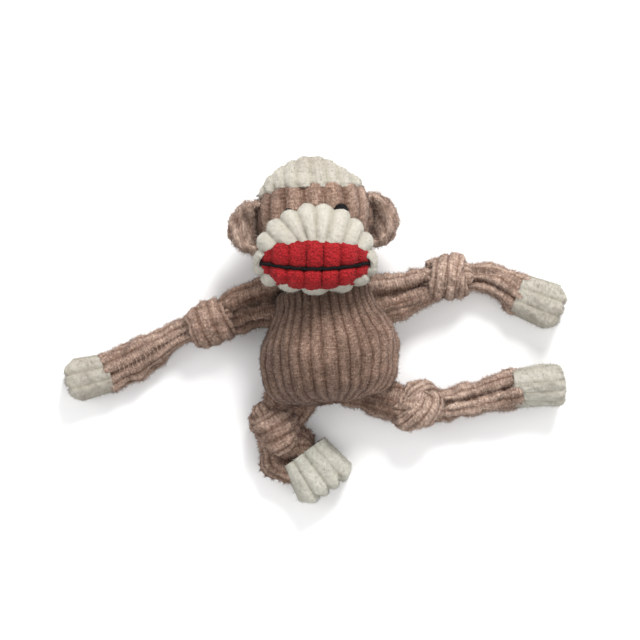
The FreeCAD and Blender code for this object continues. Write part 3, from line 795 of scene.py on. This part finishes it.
def fan_edges(upper, turn, wales):
    """A muzzle panel's inner edge and scalloped outline, as (x, y), and the line that it fans from."""
    phase = turn * wales
    sign = 1 if upper else -1
    if upper:
        lip_share = np.interp(phase, np.arange(wales + 1), RIB_STARTS)
        base_y = MOUTH_Y - 1
        tall = MUZZLE_MIDDLE[1] + MUZZLE_HALF[1] - 1.4 - base_y
        bulge = 1 + 0.02 * wale_height(phase)
    else:
        lip_share = np.cos(math.pi * (1 - turn))
        base_y = MOUTH_Y - 0.5
        tall = base_y - (MUZZLE_MIDDLE[1] - MUZZLE_HALF[1])
        bulge = 1 + 0.03 * wale_height(phase)
    inner_x = LIP_MIDDLE + LIP_HALF * 0.97 * lip_share
    inner_y = mouth_line_y(inner_x) + sign * (lip_height(inner_x, upper) - LIP_END - 0.1)
    angle = math.pi * (1 - turn) * 1.06 - math.pi * 0.03
    outer_x = MUZZLE_MIDDLE[0] + (MUZZLE_HALF[0] - 1.2) * np.cos(angle) * bulge
    outer_y = base_y + sign * tall * boxy(np.sin(angle), 0.86) * bulge
    return (inner_x, inner_y), (outer_x, outer_y), base_y


def fan_panel(name, upper, wales, rows, nodes, seed):
    """A white panel of the muzzle, whose wales fan out from a lip to a scalloped outline and turn under."""
    columns = wales * 14 + 1
    turn = np.linspace(0, 1, columns)
    inner, outer, base_y = fan_edges(upper, turn, wales)
    share = np.linspace(0, 1 + TUCK, rows)[:, None]
    flat = np.minimum(share, 1)
    tuck = np.clip(share - 1, 0, None)
    inwards = 1 - 0.42 * tuck
    round_out = np.sin(flat * math.pi / 2) * 0.35 + flat * 0.65
    x = inner[0] * (1 - round_out) + outer[0] * round_out
    y = inner[1] * (1 - round_out) + outer[1] * round_out
    x = MUZZLE_MIDDLE[0] + (x - MUZZLE_MIDDLE[0]) * inwards
    y = base_y + (y - base_y) * inwards
    inner_z = muzzle_height(*inner) - 1.0
    rim_z = MUZZLE_MIDDLE[2] - 4.5
    drop = 1 - np.sqrt(np.clip(1 - flat**2.3, 0, 1))
    z = inner_z + (rim_z - inner_z) * drop - tuck * 30
    skin = panel_skin(x, y, z, turn * wales, BROAD_PITCH)
    skin.face(UP, 5, columns // 2)
    calm = smooth_step(share / 0.22)
    skin.raised = RESTING + (wale_height(skin.phase, 0.7) - RESTING) * calm
    # Painted shade darkens the muzzle's white cloth a little.
    skin.painted_shade = 0.85 * skin.painted_shade
    skin.emboss(1.5, seed, wrinkle=0.3, wrinkle_length=11)
    sew(name, [skin], "white_corduroy", ("head",), nodes, CLOTH, (1.2, 1.1, seed + 5))


def make_lip(name, upper, node, seed, shift, scallop, calm):
    """A padded red lip: ribs across it, a rounded crown, and edges that turn down into the muzzle."""
    columns = LIP_WALES * 16 + 1
    place = np.linspace(-1, 1, columns)
    x = LIP_MIDDLE + LIP_HALF * (place * 0.985 + 0.015 * place**9)
    phase = LIP_WALES / 2 + 3.08 * place + shift
    share = np.linspace(-0.10, 1.16, LIP_ROWS)[:, None]
    level = np.clip(share, 0, 1)
    before = np.clip(-share, 0, None)
    beyond = np.clip(share - 1, 0, None)
    tall = lip_height(x, upper) + scallop * (wale_height(phase, 0.6) - 0.5)
    y = mouth_line_y(x) + (1 if upper else -1) * (0.25 + tall * level - beyond * 22)
    crown = np.sqrt(np.clip(4 * level * (1 - level), 0, 1)) ** 0.75
    ends = np.sqrt(np.clip(1 - np.abs(place) ** 9, 0, 1))
    base = muzzle_height(x, np.clip(y, MUZZLE_MIDDLE[1] - MUZZLE_HALF[1] * 0.93, None))
    surface = 0.6 * base + 0.4 * muzzle_height(x, mouth_line_y(x))
    z = surface - 2.6 + 4.3 * crown * (0.35 + 0.65 * ends) - before * 26 - beyond * 30 - (1 - ends) * 2.5
    skin = panel_skin(x, y, z, phase, BROAD_PITCH)
    skin.face(UP, LIP_ROWS // 2, columns // 2)
    ribs = 1 - calm * smooth_step((level - 0.7) / 0.3)
    skin.raised = RESTING + (wale_height(phase, 0.36) - RESTING) * ribs
    skin.emboss(1.15, seed, wrinkle=0.12, wrinkle_length=9, pile=0.15)
    sew(name, [skin], "red_terry", ("head",), (node,), CLOTH, (1.6, 0.7, seed + 5))


def make_mouth_line():
    """The stitched black line between the lips."""
    x = np.linspace(LIP_MIDDLE - LIP_HALF * 0.99, LIP_MIDDLE + LIP_HALF * 0.985, 160)
    y = mouth_line_y(x) + 0.15 * np.sin(x * 1.3)
    z = muzzle_height(x, y) + 0.25 + 0.35 * wale_height((x - x[0]) / (x[-1] - x[0]) * LIP_WALES)
    path = even_path(np.stack([x, y, z], axis=1), 0.25)
    columns = 16
    end_rows = 3
    twist = np.arange(len(path))[:, None] * 0.24 + np.arange(columns) / columns * 2
    rope = 0.16 * np.sin(TURN * twist)
    skin = Skin(shut_ends(sweep(path, UP, 0.72, 0.8, columns), end_rows), 0.5, True, 1.0)
    skin.push(np.pad(rope, ((end_rows, end_rows), (0, 0))))
    finish_piece(tube_mesh("mouth_thread", [skin], BLACK), ("head",), ("mouth_line",))


# ---- eyes and ears

EYE_RADIUS = 3.7
EYE_DOME = 1.3
EYE_DROPS = {"right": 3.8, "left": 1.6}


def make_eye(side):
    """A satin-stitched eye: close threads over a low dome."""
    low, high = node_box(side + "_eye")
    middle = np.array([(low[0] + high[0]) / 2, high[1] - EYE_RADIUS - EYE_DROPS[side],
                       (low[2] + high[2]) / 2 + 0.8])
    rows, columns = 26, 72
    away = np.linspace(0.02, 1.0, rows)[:, None]
    angle = np.linspace(0, TURN, columns, endpoint=False)
    flat_x = EYE_RADIUS * away * np.cos(angle)
    flat_y = EYE_RADIUS * away * np.sin(angle)
    out = unit((middle - HEAD_MIDDLE) / HEAD_HALF**2)
    right = unit(np.cross(np.array([0, 1, 0]), out))
    top = np.cross(out, right)
    threads = 0.13 * np.sin(flat_x * TURN / 0.55) * (1 - away**6)
    dome = EYE_DOME * np.sqrt(np.clip(1 - away**2, 0, 1)) + threads
    base = middle + out * 0.2
    over = base + right * flat_x[..., None] + top * flat_y[..., None] + out * dome[..., None]
    under = base + (over[::-1] - base) * 0.92 - out * 1.0
    skin = Skin(np.concatenate([over, under[1:-1]]), 0.5, True, 1.0)
    skin.face(out, rows // 2, 0)
    finish_piece(tube_mesh(side + "_eye_stitch", [skin], BLACK), ("head",), (side + "_eye",))


EAR_LENGTHS = {"right": 12.2, "left": 9.6}
EAR_ROOT = 4.0          # how far the ear's cloth runs into the head
EAR_RIM = 2.5           # the height of the rim over the lowest point of the ear's front


def ear_front(away):
    """The height of the front layer over the rim: a crease at the head and a roll before the rim."""
    return 6.2 * np.sin(math.pi * away ** 1.5) ** 0.8 - 7.0 * (1 - away) ** 2.2


def ear_back(away):
    return -4.4 * (1 - away ** 3.5) - 2.0 * (1 - away) ** 2


def make_ear(side, sign):
    """A padded ear that folds forward: a creased front layer and a back layer meet in a rolled rim."""
    low, high = node_box(f"{side}_ear_front")
    hinge_x = low[0] if sign > 0 else high[0]
    middle_y = (low[1] + high[1]) / 2
    tall = (high[1] - low[1]) / 2
    long = EAR_LENGTHS[side]
    columns, rows = 110, 60
    angle = np.linspace(-math.pi / 2, math.pi / 2, columns)
    away = np.linspace(0.0, 1, rows)[:, None]
    x = hinge_x + sign * (-EAR_ROOT + (long + EAR_ROOT) * away * np.cos(angle) ** 0.75)
    y = middle_y + tall * (0.55 + 0.45 * away) * np.sin(angle)
    phase = (x - hinge_x) * 0.9 / SLEEVE_PITCH + y * 0.35 / SLEEVE_PITCH
    place = ("head", f"{side}_ear", np.array([hinge_x - sign * 1.5, middle_y, low[2]]),
             np.array([hinge_x + sign * 3.0, middle_y, low[2]]))
    for layer, height, facing, seed in (("front", ear_front, UP, 51), ("back", ear_back, -UP, 55)):
        skin = panel_skin(x, y, low[2] + EAR_RIM + height(away), phase, SLEEVE_PITCH)
        skin.face(facing, rows // 2, columns // 2)
        skin.emboss(0.55, seed, wrinkle=0.55, wrinkle_length=9)
        # Painted shade, a little under full, in a random mottle.
        skin.painted_shade = 0.98 + 0.14 * ripple(skin.points, 10, seed + 3)
        skin.rest_on_floor()
        sew(f"{side}_ear_{layer}_layer", [skin], "brown_corduroy", place, (f"{side}_ear_{layer}",),
            EAR_CLOTH, (3.6, 2.4, seed + 7))


# ---- limbs

LIMB_WORDS = {"arm": ("upper_arm", "forearm", "hand", "shoulder_lift", "elbow_swing", "wrist_curl"),
              "leg": ("thigh", "shin", "foot", "hip_lift", "knee_swing", "ankle_curl")}
SLEEVE_POWERS = (2.0 / 2.2, 2.0 / 2.2)
SEAM_BACK = 5.8         # the distance from the paw's joint back to the seam where its sleeve ends
RIM_LAP = 0.35          # how far each of a paw's panels runs past the middle at its rim
SEAM_SHIFTS = {"right_arm": (-0.3, 0.4), "left_arm": (2.0, 2.0),
               "right_leg": (0.2, 2.8), "left_leg": (0.0, 0.2)}
# The painted_shade value of each part darkens its cloth as painted shade: lower is darker.
UPPERS = {
    "right_arm": dict(root_in=12, root_shift=(1, 0), middle_shift=(1, 1.5), width=[13.0, 10.5, 6.8],
                      height=[6.5, 6.0, 5.4], wales=10, seed=101, painted_shade=0.62,
                      folds=[(1.55, 0.30, 0.62), (2.5, 0.2, 0.25)]),
    "left_arm": dict(root_in=13, root_shift=(0, -3), middle_shift=(-1, -2.0), width=[12.5, 9.5, 6.6],
                     height=[6.5, 6.0, 5.4], wales=10, seed=102, painted_shade=0.84,
                     folds=[(1.75, 0.26, 0.62), (0.9, 0.2, 0.2)]),
    "right_leg": dict(root_in=2, root_shift=(13, 7), middle_shift=(1, 1), width=[8.0, 12.0, 9.5],
                      height=[7.5, 6.5, 6.0], wales=11, seed=103, painted_shade=0.62, folds=[(1.9, 0.25, 0.25)]),
    "left_leg": dict(root_in=14, root_shift=(-2, 5), middle_shift=(-2, 1), width=[6.5, 9.0, 7.5],
                     height=[7.0, 7.0, 6.5], wales=8, seed=104, painted_shade=0.72, folds=[(1.2, 0.3, 0.3)])}
COILS = {
    "right_arm": dict(turns=1.9, hand=1, roll=4.2, reach=6.6, spread=5.6, tilt=1.4, tilt_at=0.6, band=6.2,
                      thick=3.9, wales=8, seed=201, painted_shade=0.72),
    "left_arm": dict(turns=2.8, hand=-1, roll=0.4, reach=6.9, spread=7.6, tilt=1.2, tilt_at=2.0, band=4.6,
                     thick=3.7, wales=6, seed=202, painted_shade=0.9),
    "right_leg": dict(turns=1.7, hand=-1, roll=5.0, reach=7.0, spread=4.6, tilt=2.0, tilt_at=0.0, band=6.4,
                      thick=4.2, wales=8, seed=203, painted_shade=0.68, turn=25)}
WEAVES = {
    "left_leg": dict(hand=-1, roll=0.2, reach=5.8, spread=6.6, weave=2.4, band=5.4, thick=4.0, wales=8,
                     seed=204, painted_shade=0.9)}
LOWERS = {
    "right_arm": dict(bend_shift=(0, 0), middle_shift=(0, -0.8), width=[6.0, 5.8, 9.0, 9.2],
                      height=[5.5, 5.8, 7.0, 6.8], wales=11, seed=301, painted_shade=0.78, stitches=1.75,
                      folds=[(1.75, 0.16, 0.12)]),
    "left_arm": dict(bend_shift=(0, 1.5), middle_shift=(0.5, 2), width=[6.2, 6.6, 7.6, 9.8],
                     height=[5.5, 6.3, 7.0, 6.8], wales=11, seed=302, painted_shade=1.0,
                     folds=[(1.2, 0.2, 0.32), (2.0, 0.16, 0.22)]),
    "right_leg": dict(bend_shift=(-1.5, 0), middle_shift=(-1, -1), width=[8.0, 9.6, 11.4, 13.4],
                      height=[7.0, 7.4, 7.6, 7.6], wales=13, seed=303, painted_shade=0.7, folds=[(1.4, 0.2, 0.3)]),
    "left_leg": dict(bend_shift=(0, 2.0), middle_shift=(0, 0.8), width=[6.5, 6.8, 7.8, 9.4],
                     height=[6.2, 6.8, 7.6, 8.2], wales=11, seed=304, painted_shade=0.93, folds=[(1.75, 0.15, 0.34)])}
PAWS = {
    "right_arm": dict(width=10.4, height=7.6, length=20.5, wales=3, depth=0.7, heading=193, corner=0.2,
                      seed=401, painted_shade=0.79),
    "left_arm": dict(width=11.2, height=7.8, length=22.0, wales=3, depth=0.7, heading=-21, corner=0.18,
                     seed=411, painted_shade=0.82),
    "right_leg": dict(width=14.2, height=8.6, length=20.0, wales=4, depth=1.4, heading=-54, corner=0.05,
                      seed=421, painted_shade=1.0, flare=0.12, toes=0.11),
    "left_leg": dict(width=10.2, height=9.4, length=23.0, wales=4, depth=0.35, heading=4, corner=0.10,
                     seed=431, painted_shade=0.89, tip=0.35, lift=0.4)}


def flat_shift(shift):
    """A shift over the floor, as (x, y), made into a full vector."""
    return np.array([*shift, 0.0])


def turned(vector, degrees):
    """A vector turned about +Z."""
    angle = math.radians(degrees)
    x, y, z = vector
    return np.array([x * math.cos(angle) - y * math.sin(angle), x * math.sin(angle) + y * math.cos(angle), z])


class Limb:
    """The names and places of one arm or leg, all read from the frame."""

    def __init__(self, side, kind):
        upper, lower, paw, lift, swing, curl = LIMB_WORDS[kind]
        self.name = f"{side}_{kind}"
        self.upper = f"{side}_{upper}"
        self.lower = f"{side}_{lower}"
        self.paw = f"{side}_{paw}"
        self.root = joint_point(f"{side}_{lift}")
        self.bend = joint_point(f"{side}_{swing}")
        self.wrist = joint_point(f"{side}_{curl}")
        low, high = node_box(f"{self.name}_knot")
        self.knot = (low + high) / 2
        self.knot_half = (high[2] - low[2]) / 2
        back = unit((self.bend - self.wrist) * FLAT)
        self.seam = self.wrist + back * SEAM_BACK + flat_shift(SEAM_SHIFTS[self.name])


def limb_tube(name, path, shape, place, nodes):
    """A stuffed sleeve of brown corduroy along a path, with its folds."""
    columns = shape["wales"] * COLUMNS
    rings = sweep(path, UP, shape["width"], shape["height"], columns, SLEEVE_POWERS, shape["folds"])
    # Painted shadow in the folds, under the painted shade of the whole sleeve, with a little random tone.
    shadow = 1 - 0.85 * fold_depth(np.linspace(0, TURN, columns, endpoint=False), shape["folds"])
    skin = Skin(shut_ends(rings), np.arange(columns) / COLUMNS, True, SLEEVE_PITCH)
    skin.emboss(0.55, shape["seed"], wrinkle=0.8, wrinkle_length=11)
    skin.painted_shade = shape["painted_shade"] * (1 + 0.08 * ripple(skin.points, 18, shape["seed"] + 2)) * shadow
    skin.rest_on_floor()
    sew(name, [skin], "brown_corduroy", place, nodes, pile=(3.0, 1.9, shape["seed"] + 7))
    return skin


def make_upper(limb, shape):
    """The sleeve from the torso's seam to the knot."""
    inward = unit((limb.root - limb.knot) * FLAT)
    root = limb.root + inward * shape["root_in"] + flat_shift(shape["root_shift"])
    middle = (root + limb.knot) / 2 + flat_shift(shape["middle_shift"])
    path = smooth_path([root, middle, limb.knot - inward * 1.0], FINE)
    place = ("torso", limb.upper, limb.root + inward * 4, limb.root - inward * 5)
    limb_tube(f"{limb.upper}_cloth", path, shape, place, (f"{limb.upper}_sleeve",))


def make_lower(limb, shape):
    """The sleeve from the knot to the paw's seam."""
    outward = unit((limb.wrist - limb.bend) * FLAT)
    aim = unit((limb.bend - limb.knot) * FLAT)
    middle = (limb.bend + limb.seam) / 2 + flat_shift(shape["middle_shift"])
    bend = limb.bend + flat_shift(shape["bend_shift"])
    path = smooth_path([limb.knot + aim * 2.0, bend, middle, limb.seam], FINE)
    place = (limb.upper, limb.lower, limb.bend - outward * 3, limb.bend + outward * 5)
    nodes = (f"{limb.lower}_sleeve", f"{limb.lower}_stuffing")
    skin = limb_tube(f"{limb.lower}_cloth", path, shape, place, nodes)
    if "stitches" in shape:
        add_stitches(f"{limb.lower}_stitches", skin, shape["stitches"], place)


def add_stitches(name, skin, angle, place):
    """A ladder of light stitches that closes the sleeve's seam."""
    rows, columns = skin.phase.shape
    middle = int(angle / TURN * columns)
    reach = np.arange(-3, 4)
    outs = skin.normals()
    faces, points, start = [], [], 0
    for row in range(14, rows - 16, 4):
        line = skin.points[row + (reach > 0), middle + reach]
        arch = 0.30 - 0.035 * reach**2
        path = line + outs[row, middle + reach] * arch[:, None]
        ring = shut_ends(sweep(path, outs[row, middle], 0.2, 0.2, 8), 2)
        faces.append(grid_quads(len(ring), 8, True, start))
        points.append(ring.reshape(-1, 3))
        start += len(ring) * 8
    piece = add_mesh(name, np.vstack(points), np.vstack(faces), STITCH, {})
    hold(piece, place)


def coil_line(axis, side, middle, shape):
    """The line of a sleeve that winds round an axis side by side."""
    share = np.linspace(0, 1, 500)
    wind = shape["roll"] + shape["hand"] * shape["turns"] * TURN * share
    along = shape["spread"] * (2 * share - 1) + shape["tilt"] * np.sin(wind + shape["tilt_at"])
    return wound_line(axis, side, middle, wind, shape["reach"], along)


def weave_line(axis, side, middle, shape):
    """The line of a sleeve that crosses over itself, as in a loosely pulled overhand knot."""
    loop = -math.pi / 6 + np.linspace(0, 1, 500) * (5 / 3) * math.pi
    wind = shape["roll"] + shape["hand"] * 2 * loop
    reach = shape["reach"] + shape["weave"] * np.cos(3 * loop)
    return wound_line(axis, side, middle, wind, reach, shape["spread"] * np.sin(3 * loop))


def wound_line(axis, side, middle, wind, reach, along):
    """Evenly spaced points about an axis, at an angle, a distance from it and a place along it."""
    line = (middle + axis * along[:, None] + side * (reach * np.cos(wind))[:, None]
            + UP * (reach * np.sin(wind))[:, None])
    return even_path(line, FINE)


def make_knot(limb):
    """The knot: a winding ribbed sleeve over a core."""
    draw_line = coil_line if limb.name in COILS else weave_line
    shape = COILS.get(limb.name) or WEAVES[limb.name]
    axis = turned(unit((limb.bend - limb.root) * FLAT), shape.get("turn", 0))
    path = draw_line(axis, np.cross(UP, axis), limb.knot, shape)
    out = path - limb.knot
    out = unit(out - axis * (out @ axis)[:, None])
    count = len(path)
    ends = np.minimum(np.arange(count), np.arange(count)[::-1]) / (count * 0.12)
    taper = 0.45 + 0.55 * smooth_step(ends)
    swell = 1 + 0.13 * ripple(path, 16, shape["seed"] + 9)
    columns = shape["wales"] * COLUMNS
    rings = sweep(path, out, shape["band"] * taper * swell, shape["thick"] * taper, columns, (0.85, 1.0))
    wrap = Skin(shut_ends(rings), np.arange(columns) / COLUMNS, True, KNOT_PITCH)
    wrap.emboss(0.6, shape["seed"], wrinkle=0.55, wrinkle_length=7)
    half = limb.knot_half
    core_path = smooth_path([limb.knot - axis * half * 0.85, limb.knot, limb.knot + axis * half * 0.85], FINE)
    core_size = [half * 0.5, half * 0.74, half * 0.5]
    core_rings = shut_ends(sweep(core_path, UP, core_size, core_size, 10 * COLUMNS))
    core = Skin(core_rings, np.arange(10 * COLUMNS) / COLUMNS, True, KNOT_PITCH)
    core.emboss(0.6, shape["seed"] + 1, wrinkle=0.5, wrinkle_length=8)
    for skin in (wrap, core):
        skin.rest_on_floor()
        # Painted shade over the knot, with a little random tone.
        skin.painted_shade = shape["painted_shade"] * (1 + 0.10 * ripple(skin.points, 15, shape["seed"] + 2))
    sew(f"{limb.name}_knot_cloth", [wrap, core], "brown_corduroy", (limb.upper,), (f"{limb.name}_knot",),
        pile=(2.0, 1.5, shape["seed"] + 3))


def make_paw(limb, shape):
    """A white mitt of two ribbed panels with rounded toe ends, sewn to the sleeve."""
    outward = turned(np.array([1.0, 0, 0]), shape["heading"])
    tip_over = shape.get("tip", 0.0)
    across = np.cross(UP, outward) * math.cos(tip_over) + UP * math.sin(tip_over)
    facing = np.cross(outward, across)
    columns = shape["wales"] * 16 + 1
    rows = int(shape["length"] / 0.4)
    place = np.linspace(-1, 1, columns)
    phase = (place + 1) / 2 * shape["wales"]
    share = np.linspace(0, 1, rows)[:, None]
    plump = 1 - 0.13 * (1 - share) ** 2 - 0.34 * np.clip((share - 0.6) / 0.4, 0, 1) ** 2.6
    end = np.sqrt(np.clip(1 - np.clip((share - 0.62) / 0.38, 0, 1) ** 2.2, 0, 1))
    edge = np.sqrt(np.clip(1 - np.abs(place) ** 2.6, 0, 1))
    toes = 1 + shape.get("toes", 0.05) * wale_height(phase) * share**2
    corners = 1 - shape["corner"] * place**4 * share
    run = shape["length"] * np.sin(share * math.pi / 2) ** 0.92 * toes * corners
    wide = shape["width"] * (1 + shape.get("flare", 0.0) * share) * plump * place
    level = (limb.seam - outward * 1.4 + outward * run[..., None] + across * wide[..., None]
             + UP * shape.get("lift", 0.0))
    held = smooth_step((1 - share) / 0.10) * smooth_step((1 - np.abs(place)) / 0.05)
    body = (limb.lower, limb.paw, limb.seam + outward * 1, limb.wrist + outward * 4)
    for panel, sign, nodes in (("top", 1, (f"{limb.paw}_top_panel", f"{limb.paw}_stuffing")),
                               ("under", -1, (f"{limb.paw}_under_panel",))):
        high = sign * (shape["height"] * edge * end * (1 - 0.12 * (1 - share) ** 2) - RIM_LAP)
        skin = Skin(level + facing * high[..., None], phase, False, BROAD_PITCH)
        skin.face(facing * sign, rows // 3, columns // 2)
        skin.raised = wale_height(skin.phase, 0.7)
        skin.emboss(shape["depth"], shape["seed"] + sign, wrinkle=0.4, wrinkle_length=10, held=held)
        # Painted shade over the paw panel, with a little random tone.
        skin.painted_shade = shape["painted_shade"] + 0.04 * ripple(skin.points, 14, shape["seed"])
        skin.rest_on_floor()
        sew(f"{limb.paw}_{panel}_cloth", [skin], "white_corduroy", body, nodes, PAW_CLOTH,
            (2.6, 1.6, shape["seed"] + 5 + sign))


def make_limbs():
    for side in ("right", "left"):
        for kind in ("arm", "leg"):
            limb = Limb(side, kind)
            make_upper(limb, UPPERS[limb.name])
            make_knot(limb)
            make_lower(limb, LOWERS[limb.name])
            make_paw(limb, PAWS[limb.name])


# ---- floor, light and camera

# Places and sizes are in metres here, apart from the camera's sensor and focal length.
FLOOR_HALF = 3.0
TOY_MIDDLE = (-0.005, 0.014, 0.02)
# Each light: (name, place, size, power in watts).
LIGHTS = (("key", (0.25, 0.85, 0.70), 0.45, 15),
          ("fill", (0.5, -0.5, 0.9), 0.9, 3.5),
          ("side", (-0.8, 0.1, 0.6), 0.7, 2.5))
WORLD_STRENGTH = 0.70
CAMERA_PLACE = (-0.0047, 0.0141, 1.3)
SENSOR_WIDTH_MM = 36
FOCAL_LENGTH_MM = 154.4


def make_stage():
    mesh = bpy.data.meshes.new("floor")
    corners = [(x * FLOOR_HALF, y * FLOOR_HALF, 0) for x, y in ((-1, -1), (1, -1), (1, 1), (-1, 1))]
    mesh.from_pydata(corners, [], [(0, 1, 2, 3)])
    look = Look("pale_floor", {"Base Color": (0.93, 0.93, 0.93, 1), "Roughness": 0.9})
    mesh.materials.append(look.material)
    floor = bpy.data.objects.new("floor", mesh)
    bpy.context.scene.collection.objects.link(floor)


def light_scene():
    for name, place, size, power in LIGHTS:
        light = bpy.data.lights.new(name, "AREA")
        light.shape = "DISK"
        light.size = size
        light.energy = power
        lamp = bpy.data.objects.new(name, light)
        lamp.location = place
        lamp.rotation_euler = (Vector(TOY_MIDDLE) - Vector(place)).to_track_quat("-Z", "Y").to_euler()
        bpy.context.scene.collection.objects.link(lamp)
    world = bpy.data.worlds.new("studio")
    bpy.context.scene.world = world
    world.use_nodes = True
    backdrop = world.node_tree.nodes["Background"]
    backdrop.inputs["Color"].default_value = (1, 1, 1, 1)
    backdrop.inputs["Strength"].default_value = WORLD_STRENGTH
    bpy.context.scene.view_settings.view_transform = "Standard"


def add_camera():
    """A camera high over the belly, with the head to the top of the frame."""
    lens = bpy.data.cameras.new("camera")
    lens.sensor_width = SENSOR_WIDTH_MM
    lens.lens = FOCAL_LENGTH_MM
    lens.clip_start = 0.05
    lens.clip_end = 20
    camera = bpy.data.objects.new("camera", lens)
    camera.location = CAMERA_PLACE
    bpy.context.scene.collection.objects.link(camera)
    bpy.context.scene.camera = camera


# ---- the whole

make_stage()
light_scene()
add_camera()
make_torso()
make_neck()
make_head()
fan_panel("muzzle_upper", True, 10, 74, ("muzzle_upper_panel", "muzzle_stuffing"), 61)
fan_panel("chin", False, 7, 52, ("chin_panel",), 62)
make_lip("upper_lip_cloth", True, "upper_lip", 71, shift=0, scallop=0.2, calm=1.0)
make_lip("lower_lip_cloth", False, "lower_lip", 72, shift=0.12, scallop=0.5, calm=0.7)
make_mouth_line()
for side, sign in (("right", -1), ("left", 1)):
    make_eye(side)
    make_ear(side, sign)
make_limbs()
for node in ("belly_squeaker", "squeaker_reed"):
    piece = frame["nodes"][node]
    piece.data.materials.clear()
    piece.data.materials.append(PLASTIC)

bpy.context.view_layer.update()
